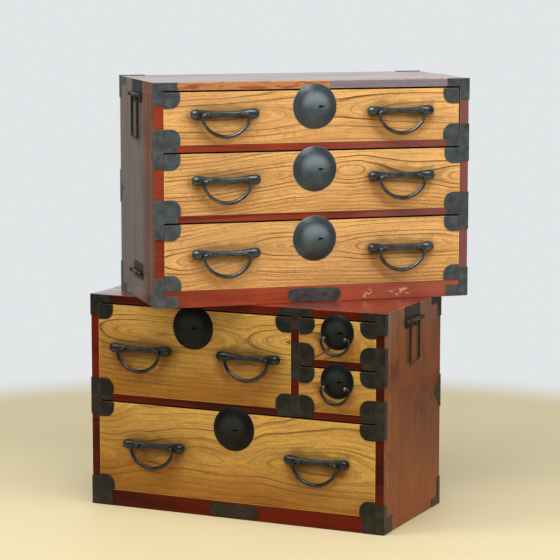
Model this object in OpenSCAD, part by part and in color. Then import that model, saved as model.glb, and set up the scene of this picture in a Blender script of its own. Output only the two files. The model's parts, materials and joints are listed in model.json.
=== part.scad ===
// Stacking chest of drawers in two cases, with iron straps, locks and bail handles.
// The upper case stands turned on the lower one. Each case is drawn about the centre of
// its own footprint, with its front towards -Y, and the lower case sets the part's frame.

/* [Cases] */
// Width of both cases
case_w = 660; // [645:5:690]
// Depth of both cases, front to back
case_d = 304; // [290:2:330]
// Height of the lower case
lower_h = 445; // [440:1:465]
// Height of the upper case
upper_h = 448; // [440:1:465]
// Thickness of the side boards
side_t = 18; // [16:1:21]
// Thickness of the top boards
top_t = 16; // [13:1:19]
// Thickness of the bottom boards
bottom_t = 25; // [20:1:28]
// Thickness of the planks that close the back
back_t = 8; // [5:1:12]
// Number of planks across the back
back_planks = 3; // [2:1:5]

/* [Stacking] */
// Angle that the upper case is turned by
turn = 41.6; // [36:0.2:46]
// How far the upper case's centre lies to the right of the lower one's
shift_x = 38.7; // [20:0.1:55]
// How far the upper case's centre lies behind the lower one's
shift_y = 48.1; // [30:0.1:65]

/* [Rails and inner boards] */
// Height of the strip on the bottom board, in front of the runners
strip_h = 9; // [6:1:14]
// Height of the rails between the drawers
rail_h = 14; // [12:1:18]
// Depth of the rails, front to back
rail_d = 26; // [22:1:40]
// Underside of the upper case's lower rail
upper_rail_1 = 170; // [166:1:174]
// Underside of the upper case's higher rail
upper_rail_2 = 310; // [306:1:314]
// Underside of the lower case's long rail
lower_rail = 224; // [220:1:228]
// Underside of the short rail between the two small drawers
small_rail = 330; // [326:1:334]
// Left side of the centre stile, from the case's left side
stile_x = 458; // [450:1:465]
// Thickness of the centre stile and its partition
stile_w = 17; // [14:1:20]
// Thickness of the dust boards that the drawers slide on
dust_t = 6; // [4:1:9]
// Width of the runners under the bottom drawers
runner_w = 30; // [20:1:45]

/* [Drawers] */
// Thickness of the drawer fronts
front_t = 18; // [17:0.5:21]
// How far the drawer fronts stand out of the case
front_proud = 0.5; // [0.3:0.1:1.2]
// Gap above a drawer front
top_gap = 3.5; // [1.5:0.5:4]
// Gap on each side of a drawer
side_gap = 0.6; // [0.4:0.1:2]
// How much further the upper case's top drawer stays from the case's right side
top_drawer_play = 3.5; // [0:0.5:5]
// Gap under a drawer
base_gap = 0.3; // [0.2:0.1:0.8]
// Thickness of a drawer's sides and back
box_t = 8; // [6:0.5:10]
// Thickness of a drawer's bottom
box_bottom_t = 5; // [4:0.5:8]
// How far a drawer's sides stay below the top of its front
box_drop = 10; // [6:1:16]
// Gap between a closed drawer and the back of the case
rear_gap = 1; // [0.5:0.5:3]

/* [Locks] */
// Diameter of the large lock plates
disc_d = 92; // [84:1:94]
// Height of the large plates' dome
disc_rise = 13; // [9:0.5:16]
// Diameter of the small lock plates
small_disc_d = 72; // [66:1:74]
// Height of the small plates' dome
small_disc_rise = 10; // [7:0.5:12]
// Thickness of the lock plates
disc_t = 1.5; // [1:0.1:2.2]
// How far the upper case's lock plates rise above their openings, from the bottom up
upper_disc_laps = [6.5, 7, 10.5]; // [2:0.5:14]
// The same for the lower case: long drawer, wide drawer, lower and higher small drawer
lower_disc_laps = [9.5, 7, 9.5, 9]; // [2:0.5:14]
// How far a keyhole lies to the right of its plate's centre
key_x = 10; // [6:0.5:14]
// Diameter of a keyhole's round end
key_d = 6; // [4.5:0.5:7]
// Height of a keyhole's slot
key_slot = 2.8; // [2:0.1:3.5]
// Length of a keyhole
key_l = 11.5; // [9:0.5:14]
// Width of a lock case
lock_w = 52; // [44:1:60]
// Height of a lock case
lock_h = 36; // [32:1:40]
// Depth of a lock case, which is let into the back of the drawer front
lock_d = 9; // [8:0.5:10]
// Wall of a lock case
lock_wall = 1.2; // [0.8:0.1:1.6]
// Width of a lock bolt
bolt_w = 22; // [18:1:26]
// Thickness of a lock bolt
bolt_t = 4; // [3:0.5:5]
// How far a bolt rises when its lock is shut
bolt_throw = 9; // [7:0.5:10]

/* [Drawer handles] */
// Length of a handle's bar
bar_l = 142; // [130:1:150]
// Diameter of the bar's middle
bar_d = 11; // [9:0.5:11.5]
// Diameter of the bar's ends
knob_d = 20.5; // [17:0.5:23]
// How far the bar's middle line stands off the drawer front
bar_out = 9; // [8:0.5:11]
// Distance from a full-width drawer's middle to each of its bars
bar_reach = 184; // [170:1:200]
// The same on the wide drawer beside the small ones
wide_bar_reach = 123; // [120:1:128]
// How far the upper case's bars lie above the middle of their openings, from the bottom up
upper_bar_raise = [5, 7, 7.5]; // [0:0.5:12]
// The same for the lower case's long drawer and wide drawer
lower_bar_raise = [8, 4]; // [0:0.5:12]
// How far the upper case's bars lie to the right of a drawer's middle, from the bottom up
upper_bar_shift = [-2.5, -2, -4.5]; // [-6:0.5:6]
// The same for the lower case's long drawer and wide drawer
lower_bar_shift = [3.5, 5]; // [-6:0.5:6]
// Diameter of the posts that hold a bar
post_d = 5; // [4:0.5:6]
// Distance from the bar's middle to the middle of each eye
eye_x = 35.5; // [30:0.5:36]
// Diameter of an eye
eye_d = 8.5; // [8:0.5:10]
// Length of an eye
eye_l = 7; // [5:0.5:8]
// How far an eye's middle line stands in front of the bar's
eye_out = 9.5; // [9:0.5:12]
// Half the width of a bail, on its wire's middle line
bail_a = 47.5; // [47:0.5:50]
// Drop from a bail's pins to the wire's middle line at its lowest point
bail_drop = 45; // [42:1:50]
// Radius of the curl between a bail's pin and its side
bail_curl = 7; // [6:0.5:7.5]
// Diameter of a bail's wire at the bottom, the sides and the curls
bail_wires = [8.4, 7.2, 5.4]; // [4:0.1:9]
// Diameter of the bails' pins
pin_d = 4.2; // [3.8:0.1:4.6]
// Gap around a pin in its eye
pin_gap = 0.06; // [0.03:0.01:0.1]

/* [Small drawers' bails] */
// How far the eyes lie below the lock plate's centre
small_eye_drop = 12; // [8:0.5:14]
// Distance from the plate's centre to the middle of each eye
small_eye_x = 23; // [20:0.5:23.5]
// Length of a small eye
small_eye_l = 4; // [3:0.5:4.5]
// How far a small eye's middle line stands off the drawer front
small_eye_out = 12; // [11:0.5:14]
// Half the width of a small bail, on its wire's middle line
small_bail_a = 30.7; // [30:0.1:33]
// Drop from a small bail's pins to its lowest middle line
small_bail_drop = 33; // [32:0.5:38]
// Radius of a small bail's curls
small_bail_curl = 5; // [4:0.5:5.5]
// Diameter of a small bail's wire at the bottom, the sides and the curls
small_bail_wires = [6.4, 5.6, 4.8]; // [4:0.1:7]
// How deep a small eye's stem goes into the drawer front
stem_depth = 5; // [3:0.5:6]

/* [Iron plates] */
// Thickness of the straps on the cases
strap_t = 1.2; // [0.8:0.1:2]
// Length of the straps' arms along the rails
strap_arm = 47; // [40:1:56]
// Height of the straps at the top corners
top_leg = 44; // [34:1:52]
// Height of the straps where a rail meets the side
tee_leg = 77; // [60:1:90]
// Height of the straps at the bottom corners
foot_leg = 60; // [40:1:70]
// Height of the upper case's bottom straps' arms, below the strip on the bottom board
foot_arm_h = 23; // [16:1:24]
// Length of the bottom straps' flanges along the sides
foot_flange = 42; // [30:1:56]
// Width of the other flanges folded onto the sides
flange = 14; // [8:1:20]
// Gap between the straps and whatever the chest stands on
foot_gap = 1; // [0.5:0.5:3]
// Reach of the straps' arms on each side of the centre stile
stile_arm = 30; // [20:1:40]
// Height of the plates at the upper rear corners
rear_top_h = 45; // [35:1:55]
// Reach of the plates at the upper rear corners
rear_top_l = 52; // [40:1:64]
// Height of the plates at the lower rear corners
rear_foot_h = 60; // [45:1:70]
// Reach of the plates at the lower rear corners
rear_foot_l = 43; // [30:1:54]
// Height of the arms of the rear corner plates
rear_arm_h = 16; // [10:1:20]
// Width of the laps folded onto the upper case's top
lap_w = 10; // [6:1:14]
// Height of the diamonds on the rear edges
diamond_h = 70; // [50:1:84]
// Width of a diamond on each side of its edge
diamond_w = 30; // [20:1:38]
// Height of the diamonds' middle above the lower and the upper case's base
diamond_z = [242, 218]; // [190:1:250]
// Length of the plates in the middle of the bottom edges
base_plate_l = 112; // [90:1:130]
// Height of the plates in the middle of the bottom edges
base_plate_h = 27; // [22:1:28]
// Height of those plates' middle
base_plate_z = 16; // [15:0.5:17]
// Diameter of the holes in the upper case's base plate
base_hole_d = 6; // [4:0.5:8]
// Distance of those holes from the plate's middle
base_hole_x = 22; // [16:1:30]
// Width of the plates on the drawers' corners
corner_w = 33; // [26:1:38]
// Height of the plates on the drawers' corners
corner_h = 31; // [24:1:36]
// Thickness of the plates on the drawers' corners
corner_t = 1; // [0.6:0.1:1.6]
// Radius of a corner plate's round corner
corner_r = 20; // [12:1:22]
// Gap between a corner plate and the drawer front's edges
corner_inset = 0.8; // [0.4:0.2:3]
// Diameter of the nail heads
nail_d = 3.6; // [2.5:0.1:4.5]
// Height of the nail heads
nail_h = 0.7; // [0.4:0.1:1.2]
// Distance from a plate's edge to its nails
nail_inset = 6; // [5:0.5:8]

/* [Carrying handles] */
// Distance from the case's front to the carrying handles' middle
carry_y = 144; // [134:1:160]
// Width of a bracket's plate
bracket_w = 80; // [78:1:86]
// Height of a bracket's plate
bracket_h = 45; // [40:1:52]
// Thickness of a bracket's plate
bracket_t = 1.5; // [1:0.1:2]
// Distance from the case's top down to a rod's middle line
rod_drop = 30; // [27:1:33]
// How far a rod's middle line stands off the case's side
rod_out = 6.2; // [6:0.1:8]
// Diameter of a rod
rod_d = 5.5; // [4.5:0.5:6]
// Length of a rod
rod_l = 92; // [92:1:100]
// Diameter of the knobs that end a rod
rod_knob_d = 8; // [7:0.5:10]
// Length of the knobs that end a rod
rod_knob_l = 5; // [3:0.5:5]
// Diameter of the knuckles and of the bail's eyes
knuckle_d = 8.5; // [8:0.5:9]
// Length of the middle knuckle
knuckle_l = 34; // [26:1:36]
// Length of the outer knuckles
ear_l = 4; // [2:0.5:5]
// Distance from the middle to each leg of a carrying bail
leg_y = 23.5; // [22.5:0.5:30]
// Length of a carrying bail's eyes
carry_eye_l = 7; // [6:0.5:9]
// Drop from the rod to the carrying bail's lowest middle line
carry_drop = 87; // [70:1:100]
// Diameter of a carrying bail's wire
carry_wire = 6; // [5:0.5:7.5]
// Radius of a carrying bail's corners
carry_r = 10; // [8:0.5:16]
// Gap around a rod in its knuckles and eyes
rod_gap = 0.08; // [0.04:0.01:0.1]
// Width of the catch plates low on the upper case's sides
catch_w = 76; // [72:1:80]
// Height of the catch plates
catch_h = 33; // [26:1:36]
// Height of the catch plates' rods above the case's base
catch_rod_z = 57; // [52:1:62]
// Height of the catch plates' lower edge above the case's base
catch_z = 44; // [42:1:45]

/* [Hidden] */
$fn = 64;

IRON = "#3a3f42";
LACQUER = "#8a2b20";
LOWER_LACQUER = "#6a1d17";
ELM = "#cc9d5d";
LOWER_ELM = "#a8763c";
CEDAR = "#c9b48a";

// The two cases, and the drawers from the upper case's bottom one to the small ones
LOWER = 0;
UPPER = 1;
UPPER_LOW = 0;
UPPER_MID = 1;
UPPER_TOP = 2;
LONG = 3;
WIDE = 4;
SMALL_LOW = 5;
SMALL_TOP = 6;

// Hair gap that keeps the boards, plates and nails of one node apart
joint_gap = 0.05;
// Overlap that a cut takes past a face
past = 1;
// How far a thinner wire runs into the thicker one that it is forged to
wire_lap = 0.4;
// Share of a bail's drop that its side arcs take as their radius
bail_roundness = 0.745;

left = -case_w / 2;
right = case_w / 2;
front = -case_d / 2;
rear = case_d / 2;
inner_left = left + side_t;
inner_right = right - side_t;
inner_rear = rear - back_t;
floor_z = bottom_t + strip_h;
stile_left = left + stile_x;
stile_right = stile_left + stile_w;
face = front - front_proud;
front_back = face + front_t;
lock_y = front_back - lock_d;
bolt_y = front_back - lock_d / 2;
bolt_gap = 0.3;

function about(middle, half) = [middle - half, middle + half];

function height(c) = c == UPPER ? upper_h : lower_h;
function top_z(c) = height(c) - top_t;
function case_of(d) = d <= UPPER_TOP ? UPPER : LOWER;
function is_small(d) = d >= SMALL_LOW;

// A drawer's opening in its case, as left, right, bottom and top
function opening(d) =
    d == UPPER_LOW ? [inner_left, inner_right, floor_z, upper_rail_1] :
    d == UPPER_MID ? [inner_left, inner_right, upper_rail_1 + rail_h, upper_rail_2] :
    d == UPPER_TOP ? [inner_left, inner_right, upper_rail_2 + rail_h, top_z(UPPER)] :
    d == LONG ? [inner_left, inner_right, floor_z, lower_rail] :
    d == WIDE ? [inner_left, stile_left, lower_rail + rail_h, top_z(LOWER)] :
    d == SMALL_LOW ? [stile_right, inner_right, lower_rail + rail_h, small_rail] :
    [stile_right, inner_right, small_rail + rail_h, top_z(LOWER)];
function mid_x(d) = (opening(d)[0] + opening(d)[1]) / 2;
function mid_z(d) = (opening(d)[2] + opening(d)[3]) / 2;

// The wooden front of a drawer inside its opening, in the same order
function panel(d) = [
    opening(d)[0] + side_gap,
    opening(d)[1] - side_gap - (d == UPPER_TOP ? top_drawer_play : 0),
    opening(d)[2] + base_gap,
    opening(d)[3] - top_gap
];

function disc_size(d) = is_small(d) ? small_disc_d : disc_d;
function disc_height(d) = is_small(d) ? small_disc_rise : disc_rise;
function disc_lap(d) = d <= UPPER_TOP ? upper_disc_laps[d] : lower_disc_laps[d - LONG];
function disc_z(d) = opening(d)[3] + disc_lap(d) - disc_size(d) / 2;
function key_at(d) = mid_x(d) + key_x;

function bar_raise(d) = d <= UPPER_TOP ? upper_bar_raise[d] : lower_bar_raise[d - LONG];
function bar_z(d) = mid_z(d) + bar_raise(d);
function bar_shift(d) = d <= UPPER_TOP ? upper_bar_shift[d] : lower_bar_shift[d - LONG];
function bar_at(d, side) = mid_x(d) + bar_shift(d) + side * (d == WIDE ? wide_bar_reach : bar_reach);

function carry_z(c) = height(c) - rod_drop;

module slab(x, y, z) {
    translate([x[0], y[0], z[0]])
        cube([x[1] - x[0], y[1] - y[0], z[1] - z[0]]);
}

module in_case(c) {
    if (c == UPPER)
        translate([shift_x, shift_y, lower_h])
            rotate([0, 0, turn])
                children();
    else
        children();
}

module both_sides() {
    children();
    mirror([1, 0, 0])
        children();
}

module rod_x(x, d, y = 0, z = 0) {
    translate([x[0], y, z])
        rotate([0, 90, 0])
            cylinder(d = d, h = x[1] - x[0]);
}

module rod_y(y, d, x = 0, z = 0) {
    translate([x, y[0], z])
        rotate([-90, 0, 0])
            cylinder(d = d, h = y[1] - y[0]);
}

// Bent wire, drawn in the XY plane, from one angle to another
module wire_arc(centre, r, wire, from, to) {
    translate(centre)
        rotate([0, 0, from])
            rotate_extrude(angle = to - from)
                translate([r, 0])
                    circle(d = wire);
}

// ---- Cases ----

module bottom_board(c) {
    color(c == UPPER ? LACQUER : LOWER_LACQUER)
        slab([left, right], [front, rear], [0, bottom_t]);
}

// The pocket that a lock's bolt rises into, above a drawer's opening
module mortise(d) {
    w = bolt_w / 2 + 2 * bolt_gap;
    t = bolt_t / 2 + 2 * bolt_gap;
    z = opening(d)[3];
    slab(about(key_at(d), w), about(bolt_y, t), [z - past, z + bolt_throw - top_gap + past]);
}

module top_board(c) {
    color(c == UPPER ? LACQUER : LOWER_LACQUER)
        difference() {
            slab([left, right], [front, rear], [top_z(c), height(c)]);
            for (d = c == UPPER ? [UPPER_TOP] : [WIDE, SMALL_TOP])
                mortise(d);
        }
}

module side_boards(c) {
    color(c == UPPER ? LACQUER : LOWER_LACQUER)
        both_sides()
            slab([left, inner_left], [front, rear], [bottom_t, top_z(c)]);
}

module back_boards(c) {
    plank = (top_z(c) - bottom_t) / back_planks;
    color(CEDAR)
        for (i = [0 : back_planks - 1])
            slab(
                [inner_left, inner_right],
                [inner_rear, rear],
                [bottom_t + i * plank, bottom_t + (i + 1) * plank - bolt_gap]
            );
}

// A rail across the front, with the mortises of the locks below it
module rail(x, z, locks) {
    difference() {
        slab(x, [front, front + rail_d], [z, z + rail_h]);
        for (d = locks)
            mortise(d);
    }
}

module rails(c) {
    across = [inner_left, inner_right];
    color(c == UPPER ? LACQUER : LOWER_LACQUER) {
        slab(across, [front, front + rail_d], [bottom_t, floor_z]);
        if (c == UPPER) {
            rail(across, upper_rail_1, [UPPER_LOW]);
            rail(across, upper_rail_2, [UPPER_MID]);
        } else {
            rail(across, lower_rail, [LONG]);
            rail([stile_right, inner_right], small_rail, [SMALL_LOW]);
        }
    }
}

module dust_board(x, rail_z) {
    slab(x, [front + rail_d, inner_rear], [rail_z + rail_h - dust_t, rail_z + rail_h]);
}

module runners() {
    both_sides()
        slab([inner_left, inner_left + runner_w], [front + rail_d, inner_rear], [bottom_t, floor_z]);
    slab([-runner_w / 2, runner_w / 2], [front + rail_d, inner_rear], [bottom_t, floor_z]);
}

module inner_boards(c) {
    across = [inner_left, inner_right];
    color(CEDAR) {
        runners();
        if (c == UPPER) {
            dust_board(across, upper_rail_1);
            dust_board(across, upper_rail_2);
        } else {
            dust_board(across, lower_rail);
            dust_board([stile_right + joint_gap, inner_right], small_rail);
            slab(
                [stile_left, stile_right],
                [front, inner_rear],
                [lower_rail + rail_h + joint_gap, top_z(LOWER)]
            );
        }
    }
}

// ---- Iron on the cases ----

module front_plate(x, z) {
    slab(x, [front - strap_t, front], z);
}

module side_plate(y, z) {
    slab([left - strap_t, left], y, z);
}

module back_plate(x, z) {
    slab(x, [rear, rear + strap_t], z);
}

module nail_head() {
    translate([0, 0, joint_gap])
        cylinder(d = nail_d, h = nail_h, $fn = 24);
}

module front_nail(x, z) {
    translate([x, front - strap_t, z])
        rotate([90, 0, 0])
            nail_head();
}

module side_nail(y, z) {
    translate([left - strap_t, y, z])
        rotate([0, -90, 0])
            nail_head();
}

module back_nail(x, z) {
    translate([x, rear + strap_t, z])
        rotate([-90, 0, 0])
            nail_head();
}

// A strap folded round a front corner: a leg on the side board and an arm along a rail
module front_strap(leg, arm) {
    front_plate([left - strap_t, inner_left], leg);
    front_plate([left - strap_t, left + strap_arm], arm);
    side_plate([front - strap_t, front + flange], leg);
}

module front_strap_nails(leg, arm) {
    arm_z = (arm[0] + arm[1]) / 2;
    for (z = [leg[0] + nail_inset, leg[1] - nail_inset]) {
        front_nail(left + side_t / 2, z);
        side_nail(front + flange / 2, z);
    }
    front_nail(left + strap_arm - nail_inset, arm_z);
}

function tee_leg_z(rail_z) = about(rail_z + rail_h / 2, tee_leg / 2);

module front_straps(c) {
    top = [height(c) - top_leg, height(c)];
    top_arm = [top_z(c), height(c)];
    foot = [foot_gap, foot_leg];
    foot_arm = [foot_gap, c == UPPER ? foot_gap + foot_arm_h : floor_z];
    front_strap(top, top_arm);
    front_strap_nails(top, top_arm);
    front_strap(foot, foot_arm);
    side_plate([front - strap_t, front + foot_flange], foot_arm);
    front_strap_nails(foot, foot_arm);
    side_nail(front + foot_flange - nail_inset, foot_gap + foot_arm_h / 2);
}

module tee_strap(rail_z) {
    arm = [rail_z, rail_z + rail_h];
    front_strap(tee_leg_z(rail_z), arm);
    front_strap_nails(tee_leg_z(rail_z), arm);
}

module rear_straps(c) {
    h = height(c);
    side_plate([rear - rear_top_l, rear + strap_t], [h - rear_arm_h, h]);
    side_plate([rear - flange, rear + strap_t], [h - rear_top_h, h]);
    back_plate([left - strap_t, left + rear_top_l], [h - rear_arm_h, h]);
    back_plate([left - strap_t, left + flange], [h - rear_top_h, h]);
    if (c == UPPER)
        slab([left - strap_t, left + rear_top_l], [rear - lap_w, rear + strap_t], [h, h + strap_t]);
    side_plate([rear - rear_foot_l, rear + strap_t], [foot_gap, foot_gap + rear_arm_h]);
    side_plate([rear - flange, rear + strap_t], [foot_gap, rear_foot_h]);
    back_plate([left - strap_t, left + rear_foot_l], [foot_gap, foot_gap + rear_arm_h]);
    back_plate([left - strap_t, left + flange], [foot_gap, rear_foot_h]);
}

module rear_strap_nails(c) {
    for (z = [foot_gap + rear_arm_h / 2, height(c) - rear_arm_h / 2]) {
        side_nail(rear - rear_foot_l + nail_inset, z);
        back_nail(left + rear_foot_l - nail_inset, z);
    }
}

module half_diamond(edge, tip) {
    polygon([[edge, -diamond_h / 2], [edge, diamond_h / 2], [tip, 0]]);
}

// A diamond folded round a rear edge
module diamond(c) {
    z = diamond_z[c];
    translate([left - strap_t, 0, z])
        rotate([90, 0, 90])
            linear_extrude(strap_t)
                half_diamond(rear + strap_t, rear - diamond_w);
    translate([0, rear + strap_t, z])
        rotate([90, 0, 0])
            linear_extrude(strap_t)
                half_diamond(left - strap_t, left + diamond_w);
    side_nail(rear - diamond_w / 2, z);
    back_nail(left + diamond_w / 2, z);
}

module base_plate(c) {
    end = base_plate_h / 2;
    mid = base_plate_l / 2 - end;
    translate([0, front, base_plate_z])
        rotate([90, 0, 0])
            linear_extrude(strap_t)
                difference() {
                    union() {
                        square([2 * mid, base_plate_h], center = true);
                        for (s = [-1, 1])
                            translate([s * mid, 0])
                                circle(d = base_plate_h);
                    }
                    if (c == UPPER)
                        for (s = [-1, 1])
                            translate([s * base_hole_x, 0])
                                circle(d = base_hole_d);
                }
    for (s = [-1, 1])
        front_nail(s * (base_plate_l / 2 - nail_inset), base_plate_z);
}

module stile_straps() {
    rail_top = lower_rail + rail_h;
    middle = (stile_left + stile_right) / 2;
    front_plate([stile_left - stile_arm, stile_right + stile_arm], [top_z(LOWER), lower_h]);
    front_plate([stile_left, stile_right], [lower_h - top_leg, lower_h]);
    front_plate([stile_left, stile_right], tee_leg_z(small_rail));
    front_plate([stile_left, stile_right + stile_arm], [small_rail, small_rail + rail_h]);
    front_plate([stile_left - stile_arm, stile_right + stile_arm], [lower_rail, rail_top]);
    front_plate([stile_left, stile_right], [lower_rail, rail_top + corner_h]);
    for (z = [lower_h - top_t / 2, lower_rail + rail_h / 2], s = [-1, 1])
        front_nail(middle + s * (stile_w / 2 + stile_arm - nail_inset), z);
    for (z = [tee_leg_z(small_rail)[0] + nail_inset, tee_leg_z(small_rail)[1] - nail_inset])
        front_nail(middle, z);
    front_nail(middle, lower_h - top_leg + nail_inset);
    front_nail(stile_right + stile_arm - nail_inset, small_rail + rail_h / 2);
}

module straps(c) {
    color(IRON) {
        both_sides() {
            front_straps(c);
            rear_straps(c);
            rear_strap_nails(c);
            diamond(c);
        }
        if (c == UPPER)
            both_sides() {
                tee_strap(upper_rail_1);
                tee_strap(upper_rail_2);
            }
        else {
            both_sides()
                tee_strap(lower_rail);
            mirror([1, 0, 0])
                tee_strap(small_rail);
            stile_straps();
        }
        base_plate(c);
    }
}

// Knuckles on a plate against the left side, drilled for a rod at height z
module knuckles(w, plate_z, z) {
    x = left - rod_out;
    y = front + carry_y;
    ear_at = (w - ear_l) / 2;
    spans = [about(y, knuckle_l / 2), about(y - ear_at, ear_l / 2), about(y + ear_at, ear_l / 2)];
    difference() {
        union() {
            slab([left - bracket_t, left], about(y, w / 2), plate_z);
            for (span = spans) {
                rod_y(span, knuckle_d, x, z);
                slab([x, left], span, about(z, knuckle_d / 4));
            }
        }
        rod_y(about(y, w), rod_d + 2 * rod_gap, x, z);
    }
}

module knuckle_rod(z) {
    y = front + carry_y;
    rod_y(about(y, rod_l / 2), rod_d, left - rod_out, z);
    for (s = [-1, 1])
        rod_y(about(y + s * (rod_l - rod_knob_l) / 2, rod_knob_l / 2), rod_knob_d, left - rod_out, z);
}

module handle_brackets(c) {
    color(IRON)
        both_sides() {
            knuckles(bracket_w, [height(c) - bracket_h, height(c)], carry_z(c));
            knuckle_rod(carry_z(c));
            if (c == UPPER) {
                knuckles(catch_w, [catch_z, catch_z + catch_h], catch_rod_z);
                knuckle_rod(catch_rod_z);
            }
        }
}

// A carrying bail hanging from the left side; its eyes run on the rod
module carrying_bail(c) {
    x = left - rod_out;
    y = front + carry_y;
    bottom = carry_z(c) - carry_drop;
    color(IRON)
        difference() {
            union() {
                for (s = [-1, 1]) {
                    rod_y(about(y + s * leg_y, carry_eye_l / 2), knuckle_d, x, carry_z(c));
                    translate([x, y + s * leg_y, bottom + carry_r])
                        cylinder(d = carry_wire, h = carry_drop - carry_r);
                }
                translate([x, y, bottom + carry_r])
                    rotate([90, 0, 90]) {
                        wire_arc([leg_y - carry_r, 0], carry_r, carry_wire, -90, 0);
                        wire_arc([carry_r - leg_y, 0], carry_r, carry_wire, 180, 270);
                    }
                rod_y(about(y, leg_y - carry_r), carry_wire, x, bottom);
            }
            rod_y(about(y, rod_l), rod_d + 2 * rod_gap, x, carry_z(c));
        }
}

// ---- Drawers ----

// A keyhole: a round end on the left and a slot to the right
module keyhole() {
    translate([(key_d - key_l) / 2, 0]) {
        circle(d = key_d);
        translate([0, -key_slot / 2])
            square([key_l - key_d / 2, key_slot]);
    }
}

module keyhole_cut(d, y) {
    translate([key_at(d), y[1], disc_z(d)])
        rotate([90, 0, 0])
            linear_extrude(y[1] - y[0])
                keyhole();
}

// The channel from the lock case up to the top of the drawer front
module bolt_channel(d) {
    w = bolt_w / 2 + bolt_gap;
    t = bolt_t / 2 + bolt_gap;
    slab(about(key_at(d), w), about(bolt_y, t), [disc_z(d), panel(d)[3] + past]);
}

// Holes for the posts of a drawer's bars, or for the stems of a small drawer's eyes
module iron_holes(d, y) {
    hole = post_d + 4 * joint_gap;
    if (is_small(d))
        for (s = [-1, 1])
            rod_y(y, hole, mid_x(d) + s * small_eye_x, small_eye_z(d));
    else
        for (side = [-1, 1], s = [-1, 1])
            rod_y(y, hole, bar_at(d, side) + s * eye_x, bar_z(d));
}

module drawer_front(d) {
    p = panel(d);
    color(case_of(d) == UPPER ? ELM : LOWER_ELM)
        difference() {
            slab([p[0], p[1]], [face, front_back], [p[2], p[3]]);
            slab(
                about(key_at(d), lock_w / 2 + joint_gap),
                [lock_y, front_back + past],
                about(disc_z(d), lock_h / 2 + joint_gap)
            );
            bolt_channel(d);
            keyhole_cut(d, [face - past, lock_y + past]);
            iron_holes(d, [face - past, is_small(d) ? face + stem_depth + past : front_back + past]);
        }
}

module drawer_box(d) {
    p = panel(d);
    y = [front_back, inner_rear - rear_gap];
    z = [p[2] + box_bottom_t + joint_gap, p[3] - box_drop];
    color(CEDAR) {
        slab([p[0], p[1]], y, [p[2], p[2] + box_bottom_t]);
        slab([p[0], p[0] + box_t], y, z);
        slab([p[1] - box_t, p[1]], y, z);
        slab([p[0] + box_t + joint_gap, p[1] - box_t - joint_gap], [y[1] - box_t, y[1]], z);
    }
}

module corner_plate_shape() {
    square([corner_w, corner_h - corner_r]);
    square([corner_w - corner_r, corner_h]);
    translate([corner_w - corner_r, corner_h - corner_r])
        circle(r = corner_r);
}

// One quarter of a drawer's corner plates, in the corner at the origin
module corner_plate() {
    rotate([90, 0, 0]) {
        translate([0, 0, joint_gap])
            linear_extrude(corner_t)
                intersection() {
                    corner_plate_shape();
                    square([corner_w, corner_h]);
                }
        for (at = [
            [nail_inset, nail_inset],
            [corner_w - nail_inset, nail_inset],
            [nail_inset, corner_h - nail_inset]
        ])
            translate([at[0], at[1], corner_t + joint_gap])
                nail_head();
    }
}

module corner_plates(d) {
    p = panel(d);
    for (sx = [0, 1], sz = [0, 1])
        translate([p[sx] + (1 - 2 * sx) * corner_inset, face, p[2 + sz] + (1 - 2 * sz) * corner_inset])
            mirror([sx, 0, 0])
                mirror([0, 0, sz])
                    corner_plate();
}

// A domed plate that rises towards -Y
module dome(size, rise) {
    r = (size * size / 4 + rise * rise) / (2 * rise);
    rotate([90, 0, 0])
        rotate_extrude($fn = 128)
            intersection() {
                translate([0, rise - r])
                    difference() {
                        circle(r = r);
                        circle(r = r - disc_t);
                    }
                square([size / 2 + past, rise + past]);
            }
}

module lock_plate(d) {
    difference() {
        translate([mid_x(d), face, disc_z(d)])
            dome(disc_size(d), disc_height(d));
        keyhole_cut(d, [face - disc_height(d) - past, face + past]);
        if (is_small(d))
            iron_holes(d, [face - small_eye_out, face + past]);
    }
}

module lock_case(d) {
    x = key_at(d);
    z = disc_z(d);
    difference() {
        slab(about(x, lock_w / 2), [lock_y, front_back], about(z, lock_h / 2));
        slab(
            about(x, lock_w / 2 - lock_wall),
            [lock_y + lock_wall, front_back - lock_wall],
            about(z, lock_h / 2 - lock_wall)
        );
        bolt_channel(d);
        keyhole_cut(d, [lock_y - past, lock_y + 2 * lock_wall]);
    }
}

// The bolt stands on the floor of its lock case, with a window for the key's bit
module lock_bolt(d) {
    x = key_at(d);
    z = disc_z(d);
    window = key_l / 2 + past;
    color("#7d7f80")
        difference() {
            slab(
                about(x, bolt_w / 2),
                about(bolt_y, bolt_t / 2),
                [z - lock_h / 2 + lock_wall + bolt_gap, panel(d)[3]]
            );
            slab(about(x, window), about(bolt_y, bolt_t), [z - window, z + key_d / 2 + past]);
        }
}

// An eye drilled along X for a bail's pin, with its web back towards the bar or plate
module eye(length, web) {
    rod_x([-length / 2, length / 2], eye_d);
    slab([-length / 2, length / 2], [0, web], [-eye_d / 4, eye_d / 4]);
}

module eye_bore(length) {
    rod_x([-length / 2 - past, length / 2 + past], pin_d + 2 * pin_gap);
}

// Half the outline of a handle's bar: a slim middle that flares into round ends
module bar_outline() {
    knob_at = bar_l / 2 - knob_d / 2;
    flare_at = bail_a + bail_wires[1] / 2;
    intersection() {
        union() {
            square([bar_d / 2, knob_at]);
            polygon([[0, flare_at], [bar_d / 2, flare_at], [knob_d / 2 - past, knob_at], [0, knob_at]]);
            translate([0, knob_at])
                circle(d = knob_d);
        }
        square([knob_d, bar_l]);
    }
}

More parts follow.
